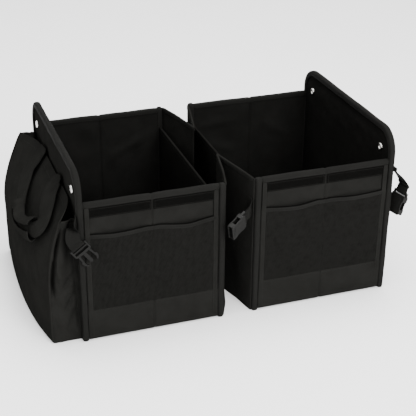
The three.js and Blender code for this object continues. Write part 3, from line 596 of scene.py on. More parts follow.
def hook_strip(name, node, a, b, seed):
    x, z = np.meshgrid(spaced(a, b, 5), spaced(HOOK_LOW, HOOK_TOP, 3))
    edge = fade(x, a, b, 2.2) * fade(z, HOOK_LOW, HOOK_TOP, 2.2)
    ripple = 0.3 * field(seed, 80, 25)(x, z) * fade(z, HOOK_LOW, HOOK_TOP + 14, 16)
    soup = Soup().shell(stack(x, -0.75 - 1.0 * edge - 0.25 * ripple, z), stack(x, -0.25, z))
    low, high = HOOK_LOW + 2, HOOK_TOP - 2
    corners = [(a + 2.2, low), (b - 2.2, low), (b - 2.2, high), (a + 2.2, high)]
    for (xa, za), (xb, zb) in zip(corners, corners[1:] + corners[:1]):
        soup.sew([(xa, -1.75, za), (xb, -1.75, zb)], AHEAD)
    soup.make(name, HOOK_LOOK, node)


def front_details(side, x0, x1, sags, seed):
    """What is sewn on a front wall: hook tape, mesh pocket with its mouth tape, and the band at the foot."""
    middle = (x0 + x1) / 2
    for part, a, b in (("a", x0 + 5, middle - 2), ("b", middle + 2, x1 - 5)):
        hook_strip(f"{side}_hook_strip_{part}", f"{side}_hook_tape_{part}", a, b, seed)

    first, second = sags
    slack = field(seed + 3, 90, 30)
    fine = field(seed + 5, 40, 14, lean=1.3)

    def mouth(u):
        sag = np.where(u < 0.5, first, second) * np.sin(2 * math.pi * u) ** 2
        return MESH_MOUTH - sag - 1.2 * bell(u, 0.5, 0.03)

    def face(u, z):
        half = np.sin(2 * math.pi * u) ** 2
        rise = np.clip((z - BAND) / (MESH_MOUTH - BAND), 0, 1.1)
        x = x0 + (x1 - x0) * u
        bulge = 4.6 * half * np.sqrt(rise) * (1 + 0.25 * slack(x, z))
        pucker = 0.55 * fine(x, z) * half ** 0.3 * fade(z, BAND, 400, 20)
        dimple = 1.3 * bell(u, 0.5, 0.011) * np.sqrt(rise)
        return x, -CLEAR - 1.95 - bulge - np.clip(pucker, -0.6, 0.6) * np.sqrt(rise) + dimple, z

    u, v = np.meshgrid(merged(np.linspace(0, 1, 67), [0.49, 0.495, 0.505, 0.51]), np.linspace(0, 1, 33))
    low = BAND - 2.5
    x, y, z = face(u, low + (mouth(u) - low) * v)
    net = Soup().shell(stack(x, y, z), stack(x, y + 0.8, z))
    net = net.make(f"{side}_netting", MESH_LOOK, f"{side}_mesh_pocket")

    u = merged(np.linspace(0.008, 0.992, 73), [0.49, 0.5, 0.51])
    x, y, z = face(u, mouth(u) - 3.5)
    path = stack(x, y + 0.45, z)
    # fold is a thin near-black roll of painted shade along the tape's upper edge: it stands in for the shadow in the
    # gap behind the mouth.
    tape, fold = Soup(), Soup()
    tape.sweep(path, AHEAD, pill(7.4, 1.7, 0.4), taper(len(path), (0.8,)))
    fold.sweep(path + [0, 0.9, 4.1], AHEAD, pill(2.3, 1.9), taper(len(path), (0.8,)))
    fold.make(f"{side}_mouth_shade_strip", SHADE_LOOK)
    for offset in (-2.4, 2.4):
        tape.sew(path + [0, -0.8, offset], AHEAD)
    tape.make(f"{side}_mouth_tape", TAPE_LOOK, f"{side}_mesh_mouth_tape")

    xs = merged(spaced(x0, x1, 5), middle + np.array([-5, -3, -1.5, 0, 1.5, 3, 5]))
    x, z = np.meshgrid(xs, [*spaced(WALL_LOW, BAND - 3, 4), BAND - 1.2, BAND])
    hem = smooth((BAND - z) / 1.4)
    edge = fade(x, x0, x1, 18) * fade(z, WALL_LOW - 4, BAND, 12)
    out = 1.55 + 0.95 * hem + 0.55 * edge * slack(x, z) - 1.4 * bell(x, middle, 1.9)
    band = Soup().shell(stack(x, -CLEAR - out, z), stack(x, -0.2, z))
    for half in ((x0 + 10, middle - 3), (middle + 3, x1 - 10)):
        band.sew([(end, -2.85, BAND - 3.4) for end in half], AHEAD)
    band.make(f"{side}_foot_band", CLOTH_LOOK, f"{side}_pocket_band")


def end_panel(seed):
    """The left end wall: a tall padded board with rounded top corners."""
    inset = 2.6
    front, back = -PROUD + inset, DEPTH + PROUD - inset
    top, radius = TOP - inset, FLAP_RADIUS - inset
    shoulder = top - radius + radius * np.sin(np.linspace(0.12, math.pi / 2, 12))
    zs = np.array([*spaced(0.3, top - radius, 6), *shoulder])
    over = np.clip(zs - (top - radius), 0, radius)
    pull = (radius - np.sqrt(np.maximum(radius ** 2 - over ** 2, 0)))[:, None]
    t = np.linspace(0, 1, 74)
    y = (front + pull) * (1 - t) + (back - pull) * t
    z = np.broadcast_to(zs[:, None], y.shape)
    edge = fade(y, front + pull, back - pull, 24) * fade(z, -20, top, 24)
    near_snap = sum(np.exp(-((y - at) ** 2 + (z - SNAP_Z) ** 2) / 13.0 ** 2) for at in (SNAP_Y, DEPTH - SNAP_Y))
    loose = edge * np.clip(1 - near_snap, 0, 1)
    slack = 0.5 + 0.5 * field(seed, 170, 55)(y, z)
    crumple = field(seed + 7, 46, 15)(y, z)
    inside = INSET + BOARD + 1.8 * loose * slack - 2.4 * smooth((z - (TOP - 34)) / 13) * edge
    inside = inside + 0.9 * crumple * loose * smooth((z - 215) / 40)
    return Soup().shell(stack(INSET + 0.6 * loose * slack, y, z), stack(inside, y, z))


def end_binding(seed):
    """The tape along the end wall's edge, from the front foot over the top to the back foot."""
    front, back, radius = -PROUD, DEPTH + PROUD, FLAP_RADIUS

    def corner(middle, start):
        for k in range(10):
            angle = start - (math.pi / 2) * k / 9
            yield (middle + radius * math.cos(angle), TOP - radius + radius * math.sin(angle),
                   -math.cos(angle), -math.sin(angle))

    y, z, inward_y, inward_z = np.array([
        *((front, z, 1, 0) for z in spaced(0, TOP - radius, 7)[:-1]),
        *corner(front + radius, math.pi),
        *((y, TOP, 0, -1) for y in spaced(front + radius, back - radius, 7)[1:-1]),
        *corner(back - radius, math.pi / 2),
        *((back, z, -1, 0) for z in spaced(TOP - radius, 0, 7)[1:]),
    ]).T
    inward = stack(0, inward_y, inward_z)
    return taped(stack(BINDING / 2, y, z), inward, BINDING, BINDING, BOARD_GAP, seed)


def upright(x, seed):
    """A bound corner post: the tape that covers the seam of a front wall and an inner wall."""
    zs = spaced(0, RIM, 6)
    shift = 0.4 * drift(seed, 160, 60, zs) * fade(zs, 0, RIM, 20)
    return taped(stack(x + BINDING / 2 + shift, -PROUD, zs), (0, 1, 0), BINDING, BINDING, 0.0, seed)


def rim(x0, x1, seed):
    middle = (x0 + x1) / 2
    xs = merged(spaced(x0 - 1.4, x1 + 1.4, 6), middle + np.array([-5, -3, -1.6, 0, 1.6, 3, 5]))
    rise = 0.35 * drift(seed, 120, 35, xs) - 0.8 * bell(xs, middle, 2.5)
    path = stack(xs, BOARD / 2, RIM + rise * fade(xs, x0, x1, 12))
    return taped(path, DOWN, BOARD + 3.6, RIM_BINDING, BOARD_GAP, seed, pinch=middle - x0)


def inner_panel(x, seed):
    """A low inner wall with a hemmed top edge."""
    y0, y1 = BINDING - PROUD + CLEAR, DEPTH - BINDING + PROUD - CLEAR
    zs = [*spaced(CLEAR, INNER_TOP - 5, 6), *(INNER_TOP - np.array([3, 1.4, 0.5, 0]))]
    y, z = np.meshgrid(spaced(y0 - SEAM, y1 + SEAM, 6), zs)
    edge = fade(y, y0, y1, 24) * fade(z, -20, INNER_TOP, 24)
    nip = 1 - 0.42 * smooth((z - (INNER_TOP - 1.6)) / 1.6)
    low, high = x + INSET, x + INSET + BOARD
    middle = (low + high) / 2
    faces = [stack(middle + (face - middle - way * edge * (0.5 + 0.5 * field(s, 170, 50)(y, z))) * nip, y, z)
             for face, way, s in ((low, 1, seed), (high, -1, seed + 9))]
    soup = Soup().shell(*faces)
    for way, at in ((-1, low - 0.15), (1, high + 0.15)):
        soup.sew([(at, end, INNER_TOP - 6.5) for end in (y0 + 6, y1 - 6)], (way, 0, 0))
    return soup


def cloth_slab(x, y, z, seed, swell=0.5):
    """A flat cloth-covered piece with soft edges and a slight swell on top."""
    (x0, x1), (y0, y1), (z0, z1) = x, y, z
    round_by = 1.2
    gx, gy = np.meshgrid(*([a, *spaced(a + round_by, b - round_by, 9), b] for a, b in (x, y)))
    edge = smooth(np.minimum(np.minimum(gx - x0, x1 - gx), np.minimum(gy - y0, y1 - gy)) / round_by)
    wave = fade(gx, x0, x1, 30) * fade(gy, y0, y1, 30) * field(seed, 200, 60)(gx, gy)
    drop = (z1 - z0) / 2 * 0.75 * (1 - edge)
    return Soup().shell(stack(gx, gy, z1 - drop + swell * wave), stack(gx, gy, z0 + drop))


shaded_inside(end_panel(11).make("left_end_panel", CLOTH_LOOK, "left_end_wall"), 1, 0, 0)
shaded_inside(end_panel(12).to_right().make("right_end_panel", CLOTH_LOOK, "right_end_wall"), -1, 0, 0)
end_binding(21).make("left_end_tape", TAPE_LOOK, "left_end_binding")
end_binding(22).to_right().make("right_end_tape", TAPE_LOOK, "right_end_binding")

for n, (side, x) in enumerate((("left", LEFT_BOX - BINDING), ("right", RIGHT_X))):
    inner_panel(x, 31 + n).make(f"{side}_inner_panel", SHADED_CLOTH_LOOK, f"{side}_inner_wall")
    both_ends(upright(x, 41 + n), side + "_{}_corner_tape", TAPE_LOOK, side + "_inner_{}_post")

for n, (side, left, right, sags) in enumerate(
    (("left", 0.0, LEFT_BOX, (1.8, 4.6)), ("right", RIGHT_X, TOTAL, (3.2, 0.9)))
):
    x0, x1 = left + BINDING + CLEAR, right - BINDING - CLEAR
    shaded_inside(long_wall(x0, x1, 51 + n).make(f"{side}_front_panel", CLOTH_LOOK, f"{side}_front_wall"), 0, 1, 0)
    rear = long_wall(x0, x1, 71 + n, REAR_CREASES[side]).to_back()
    shaded_inside(rear.make(f"{side}_back_panel", CLOTH_LOOK, f"{side}_back_wall"), 0, -1, 0)
    both_ends(rim(x0, x1, 91 + n), side + "_{}_rim_tape", TAPE_LOOK, side + "_{}_rim")
    front_details(side, x0, x1, sags, 101 + 10 * n)
    low, high = left + INSET + BOARD, right - INSET - BOARD
    floor = cloth_slab((low - SEAM, high + SEAM), (1.2, DEPTH - 1.2), (0, CLOTH), 121 + n, swell=0.0)
    floor.make(f"{side}_floor_cloth", SHADED_CLOTH_LOOK, f"{side}_floor")
    rest = CLOTH + CLEAR
    board = cloth_slab((low + 2 * CLEAR, high - 2 * CLEAR), (6.6, DEPTH - 6.6), (rest, rest + 3), 131 + n)
    board.make(f"{side}_base_pad", BASE_LOOK, f"{side}_base_board")


# ---- Middle gussets ----

GUSSET_X, GUSSET_SPAN, GUSSET_REACH = (LEFT_BOX + RIGHT_X) / 2, MOUTH / 2 - CLEAR, 120.0
GUSSET_LEG = 118  # along the cloth from a post to the inner fold


def gusset_face(s, z, seed):
    """The front gusset's outer face: s runs from -1 at the left post through 0 at the inner fold to 1."""
    away = np.abs(s)
    round_nose = np.sqrt(away ** 2 + 0.0025) - 0.05 * (1 - away)
    x = GUSSET_X + GUSSET_SPAN * s + np.sign(s) * SEAM * smooth((away - 1) / 0.01)
    y = 2.0 + (GUSSET_REACH - 2.0) * (1 - np.minimum(round_nose, 1.0))
    belly = np.sin(math.pi * np.clip(away, 0, 1))
    low = np.exp(-z / 70.0)
    push = np.where(s < 0, 7.5 * low + 1.5, -1.2 * low + 0.4) * belly
    ripple = field(seed, 120, 34, lean=0.25)(away * GUSSET_LEG, z) * belly * 1.1
    return x + push + ripple, y, z


def gusset(seed):
    s, z = np.meshgrid([-1.01, *np.linspace(-1, 1, 69), 1.01], [0.0, *spaced(2, RIM - 1.0, 5.5)])
    inner = stack(*gusset_face(s, z, seed))
    blend = smooth(np.abs(s) / 0.06)
    turned = np.where(s < 0, 1.0, -1.0) * blend * GUSSET_LEG
    outward = unit(stack(turned, -GUSSET_SPAN * blend - 60 * (1 - blend), 0.0))
    soup = Soup().shell(inner, inner + outward * CLOTH * SKIN)
    line = inner[-1] + outward[-1] * CLOTH * SKIN / 2
    return taped(line[2:-2] + [0, 0, 0.9], DOWN, 4.6, 9.0, CLOTH * SKIN, seed + 1, lumps=0.03, soup=soup)


def middle_floor():
    """The floor between the boxes, with the corners that run out between the inner walls and the gussets."""
    low, high = LEFT_BOX - INSET, RIGHT_X + INSET
    soup = cloth_slab((low, high), (GUSSET_REACH - 0.5, DEPTH - GUSSET_REACH + 0.5), (0, CLOTH), 141, swell=0.3)
    for edge, end in ((low, -1), (high, 1)):
        s, t = np.meshgrid(end * np.linspace(0, 0.99, 25), np.linspace(0, 1, 5), indexing="ij")
        x, y, _ = gusset_face(s, 0.0, 151)
        x = edge + (x - edge) * t
        for corner in (y, DEPTH - y):
            soup.shell(stack(x, corner, CLOTH), stack(x, corner, 0.1))
    return soup


middle_floor().make("middle_floor_cloth", SHADED_CLOTH_LOOK, "middle_floor")
for piece in both_ends(gusset(151), "{}_gusset_cloth", SOFT_LOOK, "{}_gusset"):
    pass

# ---- Bellows pocket ----

BELLY_SHARES = (0, 0.15, 0.32, 0.54, 0.76, 1)
BELLY_DEPTHS = (51, 63, 70, 74, 72, 66)
belly_curve = np.polynomial.Polynomial.fit(BELLY_SHARES, BELLY_DEPTHS, 4)
POCKET_ROOT = INSET - CLEAR
POCKET_SEAM = POCKET_ROOT + 1.2  # where the pocket's cloth ends inside the end wall
POCKET_BACK = DEPTH - POCKET_INSET


def belly(y):
    return belly_curve((y - POCKET_INSET) / (POCKET_BACK - POCKET_INSET))


def near_front(y):
    return np.clip(1 - (y - POCKET_INSET) / 62, 0, 1) ** 2


def pocket_top(y):
    return POCKET_TOP - 17 * near_front(y)


def pocket_face(y, z):
    far = np.clip(1 - (POCKET_BACK - y) / 78, 0, 1) ** 2
    top = POCKET_ROOT - POCKET_CLOTH - 27 * (near_front(y) + far)
    drawn = np.clip((z / pocket_top(y) - 0.5) / 0.5, 0, None) ** 1.6
    return -belly(y) + (top + belly(y)) * drawn


# Creases of the pocket's face: from and to (Y, Z), depth and width
POCKET_CREASES = (
    ((352, 252), (322, 196), 3.4, 3.5), ((338, 252), (300, 222), 2.6, 3.0), ((76, 250), (40, 214), 3.0, 4.0),
    ((84, 158), (28, 96), 3.6, 4.5), ((140, 150), (96, 70), 2.6, 6.0), ((232, 196), (196, 168), 3.4, 4.0),
    ((300, 214), (262, 120), 2.6, 7.0), ((40, 196), (22, 150), 3.0, 4.5), ((190, 120), (150, 40), 2.0, 8.0),
)


def pocket_panel(seed):
    """The pocket's outer cloth: under the pocket as its floor, round a soft corner and up to the end wall."""
    ys = merged(spaced(POCKET_INSET, POCKET_BACK, 4.4), [POCKET_INSET + 1.5, POCKET_BACK - 1.5])
    slack, folds = field(seed, 170, 60), field(seed + 1, 70, 24, lean=0.35)
    radius = 5.0
    rows = []
    for t in np.linspace(0, 1, 10)[:-1]:
        rows.append(stack(POCKET_SEAM + (-belly(ys) + radius - POCKET_SEAM) * t, ys, 0.3 * math.sin(math.pi * t)))
    for k in range(6):
        angle = (math.pi / 2) * k / 5
        rows.append(stack(-belly(ys) + radius - radius * math.sin(angle), ys, radius - radius * math.cos(angle)))
    for t in np.linspace(0, 1, 52)[1:]:
        z = radius + (pocket_top(ys) - radius) * t
        calm = fade(ys, POCKET_INSET, POCKET_BACK, 30) * fade(z, 0, pocket_top(ys), 40)
        swell = 2.8 * slack(ys, z) + 2.2 * folds(ys, z) * smooth((z - 40) / 120)
        swell = swell - creased(ys, z, POCKET_CREASES)
        hem = 0.9 * smooth((t - 0.945) / 0.012)
        rows.append(stack(pocket_face(ys, z) - swell * calm - hem, ys, z))
    outer = np.array(rows)
    inward = unit(np.cross(np.gradient(outer, axis=1), np.gradient(outer, axis=0)))
    soup = Soup().shell(outer, outer + inward * POCKET_CLOTH * SKIN)
    z = pocket_top(ys) - 10.5
    soup.sew(stack(pocket_face(ys, z) - 1.0, ys, z)[3:-3], (-1, 0, 0.25))
    return soup


# Creases of the pocket's two end gussets: from and to (X, Z), depth and width
GUSSET_CREASES = (
    ((-6, 128), (-34, 96), 5.0, 4.0), ((-4, 96), (-28, 58), 5.0, 4.5), ((-40, 176), (-30, 120), -4.0, 4.5),
    ((-8, 60), (-22, 20), 4.0, 5.0),
)


def pocket_gusset(y0, inward, seed):
    """An end gusset of the pocket: folded inward beside the wall, slack in its middle, tucked at its outer edge."""
    low, top = 0.8, pocket_top(y0) - 1.0
    s, v = np.meshgrid(merged(np.linspace(0, 1, 41), [0.86, 0.9, 0.94, 0.96]), np.linspace(0, 1, 66))
    z = low + (top - low) * v
    edge = np.maximum(pocket_face(y0, z), pocket_face(y0 + inward * POCKET_CLOTH, z)) + POCKET_CLOTH - 0.9
    x = POCKET_SEAM + (edge - POCKET_SEAM) * s
    pleat = 17.0 * smooth((v - 0.25) / 0.6) * bell(s, 0.30, 0.22)
    gutter = 7.0 * bell(s, 0.13, 0.10) * fade(v, 0.02, 0.9, 0.2)
    slit = 13.0 * bell(s, 0.92 - 0.05 * v, 0.05) * fade(v, 0.36, 0.97, 0.14)
    lift = -3.4 * bell(s, 0.66, 0.20) * fade(v, 0.0, 0.95, 0.3)
    folds = field(seed, 44, 17, lean=0.75)(x, z)
    lower = field(seed + 1, 60, 22, lean=0.5)(x, z)
    creases = (2.2 * folds + 1.6 * lower) * fade(s, 0, 1, 0.25) * fade(v, -0.08, 0.75, 0.22)
    creases = creases + creased(x, z, GUSSET_CREASES)
    closing = np.where(v > 0.9, 0.4 + 0.6 * smooth((1 - v) / 0.05), 1.0)
    deep = (pleat + gutter + slit + lift + creases) * closing * fade(s, -0.02, 1.02, 0.06)
    deep = np.clip(deep, -5.0, 24.0) * np.clip((POCKET_ROOT - edge) / 14.0, 0.25, 1.0)
    outer = stack(x, y0 + inward * deep, z)
    return Soup().shell(outer, outer + [0, inward * POCKET_CLOTH * SKIN, 0])


def piping(y0, inward, seed):
    """The turned seam along the panel's upright edge."""
    z = spaced(4, pocket_top(y0) - 2, 6)
    soup = Soup()
    size = taper(len(z)) * (1 + 0.12 * drift(seed, 90, 25, z))
    path = stack(pocket_face(y0, z) + 0.6, y0 + inward * 0.6, z)
    soup.sweep(path, (0, -inward, 0), pill(4.2, 3.4, 0.46), size)
    return soup


panel = pocket_panel(161)
panel.join(piping(POCKET_INSET, 1, 171))
panel.join(piping(POCKET_BACK, -1, 172))
hung = panel.make("end_pocket_cloth", SOFT_LOOK, "end_pocket_panel")
for y0, inward, seed, place, flat in (
    (POCKET_INSET, 1, 165, "front", (0.075, 0.235)), (POCKET_BACK, -1, 167, "back", (0.085, 0.250)),
):
    fold = pocket_gusset(y0, inward, seed)
    fold = fold.make(f"end_pocket_{place}_fold", SOFT_LOOK, f"end_pocket_{place}_gusset")


# ---- Handles ----

def through(points, count):
    """A smooth line through points, any number of columns, evenly spaced along the first three."""
    points = np.asarray(points, float)
    ends = np.concatenate([[2 * points[0] - points[1]], points, [2 * points[-1] - points[-2]]])
    made = []
    for k in range(1, len(ends) - 2):
        a, b, c, d = ends[k - 1:k + 3]
        t = np.linspace(0, 1, 24, endpoint=False)[:, None]
        square, cube = 2 * a - 5 * b + 4 * c - d, 3 * b - a - 3 * c + d
        made.append(0.5 * (2 * b + (c - a) * t + square * t ** 2 + cube * t ** 3))
    made = np.concatenate([*made, points[-1:]])
    reach = distances(made[:, :3])
    return sampled(np.linspace(0, reach[-1], count), reach, made)


def over_pocket(from_middle, drop, lift):
    """A place over the pocket's face, and the direction straight out of it."""
    y, z = MID_Y + from_middle, POCKET_TOP - drop
    slope_y = pocket_face(y + 1, z) - pocket_face(y - 1, z)
    slope_z = pocket_face(y, z + 1) - pocket_face(y, z - 1)
    normal = unit([-2.0, slope_y, slope_z])
    return [*(np.array([pocket_face(y, z), y, z]) + normal * lift), *normal]


def sleeve_on(soup, path, side, up, seed, wide, high, low):
    """An open sleeve of cloth wrapped round a handle's grip."""
    t = np.linspace(0, 1, len(path))[:, None]
    angle = np.linspace(math.radians(-250), math.radians(78), 46)[None]
    open_end = 1 + 0.16 * (bell(t, 0.02, 0.10) + bell(t, 0.98, 0.10))
    coarse, fine = field(seed + 5, 46, 15), field(seed + 6, 18, 8)
    a, b = t * 90 + 0 * angle, angle * 15
    swell = open_end * (1 - 0.16 * np.sin(math.pi * t) ** 2) * (1 + 0.10 * coarse(a, b) + 0.05 * fine(a, b))
    swell = swell * (1 + 0.10 * (angle - angle.min()) / (angle.max() - angle.min()))
    across = wide * np.cos(angle) * swell
    height = np.where(np.sin(angle) > 0, high, low) * np.sin(angle) * swell
    flap = 4.0 * smooth((angle - math.radians(40)) / 0.6) * np.sin(math.pi * np.clip(t * 1.1, 0, 1))
    outer = path[:, None] + side[:, None] * across[..., None] + up[:, None] * (height + 1.5 + flap)[..., None]
    skin = unit(np.cross(np.gradient(outer, axis=0), np.gradient(outer, axis=1)))
    facing = np.sign(np.sum(skin * (outer - path[:, None] - up[:, None] * 1.5), -1, keepdims=True))
    soup.shell(outer, outer - skin * np.median(facing) * 1.7)


def grip(name, node, stations, count, held, shrink, puff, seed, sleeve=None):
    """A soft strap handle: flat legs, and a padded grip folded round on itself, with lumps and a cleft."""
    line = through(stations, count)
    share = np.linspace(0, 1, count)
    start, rise, end, fall = held
    held = smooth((share - start) / rise) * smooth((end - share) / fall)
    width, thick = line[:, 6] - shrink * held, 4.4 + 1.6 * held
    puff = puff[0] + puff[1] * held
    path = line[:, :3]
    reach = distances(path)
    turn = np.linspace(0, 2 * math.pi, 34, endpoint=False)
    x = 0.5 * np.sign(np.cos(turn)) * np.abs(np.cos(turn)) ** 0.5
    y = 0.5 * np.sign(np.sin(turn)) * np.abs(np.sin(turn)) ** 0.6
    width = width * (1 + 0.05 * drift(seed + 2, 80, 26, reach))
    across = width[:, None] * x
    top, low = np.clip(2 * y, 0, 1), np.clip(-2 * y, 0, 1)
    puffs = puff[:, None]
    crown = puffs * (1 - (2 * x) ** 2)
    lump = field(seed, 44, 15)(reach[:, None] + 0 * across, across)
    middle = 0.16 * width * np.sin(reach / 24.0)
    cleft = 0.62 * puffs * np.exp(-((across - middle[:, None]) / (0.10 * width[:, None])) ** 2)
    height = thick[:, None] * y + top * (crown - cleft + (0.35 + 0.22 * puffs) * lump) - 0.25 * low * crown
    soup = Soup()
    path, side, up = soup.sweep(path, unit(line[:, 3:6]), np.stack([across, height], -1), taper(count, (0.75,)))
    if sleeve:
        first, last, *sizes = sleeve
        part = slice(int(first * count), int(last * count))
        sleeve_on(soup, path[part], side[part], up[part], seed, *sizes)
    for edge in (-1, 1):
        line = path + side * (edge * (width / 2 - 3.4))[:, None] + up * (thick / 2 + puff * 0.26)[:, None]
        soup.sew(line[3:-3], up[3:-3])
    made = soup.make(name, SOFT_LOOK, node)


# The left handle droops over the pocket: from the middle, below the pocket's top, width, gap under it
ROUTE = (
    (-60, 10, 46, 3.0), (-80, 23, 46, 5.0), (-103, 36, 42, 5.5), (-116, 51, 38, 6.5), (-104, 67, 37, 7.0),
    (-76, 77, 37, 7.0), (-44, 83, 37, 7.0), (-14, 80, 38, 6.5), (8, 68, 40, 5.5), (34, 52, 44, 5.0),
    (60, 34, 46, 5.0), (71, 13, 46, 3.0),
)
feet = [[POCKET_ROOT - 3.0, MID_Y + from_middle, POCKET_TOP + 9, -1, 0, 0, 46] for from_middle in (-53, 74)]
over = [[*over_pocket(from_middle, drop, gap + 3.0), width] for from_middle, drop, width, gap in ROUTE]
grip("left_grip", "left_handle", [feet[0], *over, feet[1]], 92, (0.24, 0.12, 0.80, 0.14), 8, (0.8, 2.2), 181,
     sleeve=(0.34, 0.66, 19.0, 12.0, 7.0))

# The right handle lies flat on the end wall, as half a ring between two straight legs
half = 48.0
arch = [math.pi * (1 + k / 8) for k in range(9)]
arch = [(half * math.cos(a), half * math.sin(a) - 48) for a in arch]
places = [(-half, 0), (-half, -24), *arch, (half, -24), (half, 0)]
face_x = TOTAL - INSET + CLEAR + 3.0
stations = [[face_x, MID_Y + y, POCKET_TOP + z, 1, 0, 0, 32] for y, z in places]
grip("right_grip", "right_handle", stations, 72, (0.25, 0.15, 0.75, 0.15), 2, (0.6, 1.6), 185)


# ---- Snaps ----

def lathe(soup, start, profile, y, steps=40, capped=True):
    """A profile of radius and place along X from the start, turned about the snap's axis."""
    angles = np.linspace(0, 2 * math.pi, steps, endpoint=False)
    radius, place = np.asarray(profile, float).T[..., None]
    points = stack(start + place, y + radius * np.cos(angles), SNAP_Z + radius * np.sin(angles))
    index = soup.put(points) + np.arange(len(profile) * steps).reshape(-1, steps)
    flat = np.stack(np.meshgrid(np.arange(steps + 1), np.arange(len(profile))), -1) * 0.001
    soup.cells(closed(index), flat)
    if capped:
        soup.caps(index, np.zeros((2, steps, 2)))
    return soup


# The cap's dome from outside in, the socket's rolled flange and recess, and the shank's end in it
CAP = (
    (0.15, -2.35), (1.6, -2.38), (3.0, -2.5), (4.6, -2.6), (6.0, -2.35), (6.9, -1.75), (7.4, -0.95), (7.5, -0.35),
    (7.2, 0.1), (0.15, 0.1),
)
SOCKET = (
    (2.75, 0), (6.2, 0), (6.55, 0.9), (6.45, 1.9), (6.0, 2.8), (5.3, 3.3), (4.6, 3.2), (4.1, 2.5), (3.7, 2.1),
    (3.0, 2.2), (2.75, 1.8), (2.75, 0),
)
SHANK = ((0.15, 2.2), (1.0, 2.3), (1.8, 2.1), (2.15, 1.5), (2.15, 0), (0.15, 0))


def snap_cap(y):
    return lathe(Soup(), INSET - CLEAR, CAP, y)


def snap_ring(y):
    near = INSET + BOARD - 0.2
    return lathe(lathe(Soup(), near, SOCKET, y, capped=False), near, SHANK, y, 24)


for place, y in (("front", SNAP_Y), ("back", DEPTH - SNAP_Y)):
    for part, shape in (("cap", snap_cap(y)), ("ring", snap_ring(y))):
        for end, soup in (("left", shape), ("right", shape.to_right())):
            soup.make(f"{end}_{place}_press_{part}", NICKEL_LOOK, f"{end}_{place}_snap_{part}", sharp=60)


# ---- Straps and buckles ----

STRAP_Z = RIM - 33.0
LEFT_FACE, RIGHT_FACE = -CLEAR - 0.8, TOTAL + CLEAR + 0.8
WEB_WIDE, WEB_THICK, LOOP_RADIUS = 24.4, 1.5, 2.5
BUCKLE_HALF, ARM, SLOT_FROM = 16.3, 3.2, 4.4
# The buckle's bar and axes, the side it swings to, and the webbing's way from its seam, with its width's direction
HANGS = {
    "left": dict(
        bar=(-2, -11, STRAP_Z - 39), along=(0.6, 0, -0.8), across=(0.8, 0, 0.6), swing=-1, straight=(),
        route=[
            ((LEFT_FACE, 5, STRAP_Z), (0, 0, 1)), ((LEFT_FACE, -2, STRAP_Z), (0, 0, 1)),
            ((-6, -8.6, STRAP_Z - 6), (0.4, 0, 0.9)), ((-9.6, -10.8, STRAP_Z - 17), (0.95, 0, 0.2)),
            ((-9.2, -11, STRAP_Z - 26), (0.96, 0, 0.28)),
        ],
    ),
    "middle": dict(
        bar=(RIGHT_X - 22, -10, STRAP_Z - 34), along=(-0.8, -0.47, -0.37), across=(-0.224, -0.33, 0.916),
        swing=1, straight=(15.0, 10.0),
        route=[((RIGHT_X - 7, 14, STRAP_Z - 16), (0, 0, 1)), ((RIGHT_X - 5.5, 4, STRAP_Z - 18), (0, 0, 1))],
    ),
    "right": dict(
        bar=(TOTAL + 24.5, 5, STRAP_Z - 39), along=(-0.36, -0.08, -0.93), across=(0.24, -0.965, -0.01),
        swing=1, straight=(15.0, 10.0),
        route=[
            ((RIGHT_FACE, 1, STRAP_Z + 18), (0, -1, 0)), ((RIGHT_FACE + 1, 1, STRAP_Z + 10), (0, -1, 0)),
            ((TOTAL + 17, 3, STRAP_Z - 6), (0.1, -1, 0)),
        ],
    ),
}


def hang_frame(hang):
    along, across = unit(hang["along"]), unit(hang["across"])
    return np.array(hang["bar"], float), along, across, np.cross(across, along)


def strap(hang):
    """Webbing from its seam over the buckle's bar, on the side it swings to, and back underneath to be sewn down."""
    bar, along, across, third = hang_frame(hang)
    lift = third * hang["swing"]
    points = [[*at, *wide] for at, wide in hang["route"]]
    for back, off in (*((back, 0) for back in hang["straight"]), (7.0, 0), (5.2, 0.06), (3.7, 0.75)):
        points.append([*(bar - along * back + lift * off), *across])
    coming = through(points, 70)
    reach = np.linalg.norm(coming[:, :3] - bar, axis=1)
    run = unit(np.gradient(coming[:, :3], axis=0))
    face = unit(np.cross(coming[:, 3:6], run))
    face = face * np.sign(face @ lift)[:, None]

    for degrees in (112, 84, 56, 28, 0, -28, -56, -84):
        angle = math.radians(degrees)
        turned = lift * LOOP_RADIUS * math.sin(angle) + along * LOOP_RADIUS * math.cos(angle)
        points.append([*(bar + turned), *across])
    points.append([*(bar - along * 3.4 - lift * 2.05), *across])
    for back in (6.5, 10.0, 14.0, 18.0, 21.5):
        near = np.argmin(np.abs(reach - back))
        points.append([*(coming[near, :3] - face[near] * (WEB_THICK + 0.15)), *coming[near, 3:6]])
    line = through(points, 120)
    up = unit(np.cross(unit(line[:, 3:6]), unit(np.gradient(line[:, :3], axis=0))))
    soup = Soup()
    soup.sweep(line[:, :3], up, pill(WEB_WIDE, WEB_THICK, 0.42), taper(120, (0.9,)))
    for back in (10.5, 19.0):
        near = np.argmin(np.abs(reach - back))
        side = np.cross(face[near], run[near])
        for off in (WEB_THICK / 2 + 0.1, -1.5 * WEB_THICK - 0.25):
            at = coming[near, :3] + face[near] * off
            soup.sew([at - side * 10.5, at + side * 10.5], face[near] * off)
    return soup


def prism(soup, outline, low, high):
    """A shape in X and Z between two places on Y, all in the buckle's own axes."""
    outline = np.asarray(outline, float)
    count = len(outline)
    points = np.concatenate([stack(outline[:, 0], y, outline[:, 1]) for y in (low, high)])
    ring = np.arange(count)
    walls = [(a, (a + 1) % count, (a + 1) % count + count, a + count) for a in range(count)]
    flats = [outline[::-1] * 0.001, outline * 0.001, *np.zeros((count, 4, 2))]
    soup.add(points, [ring[::-1], ring + count, *walls], flats)


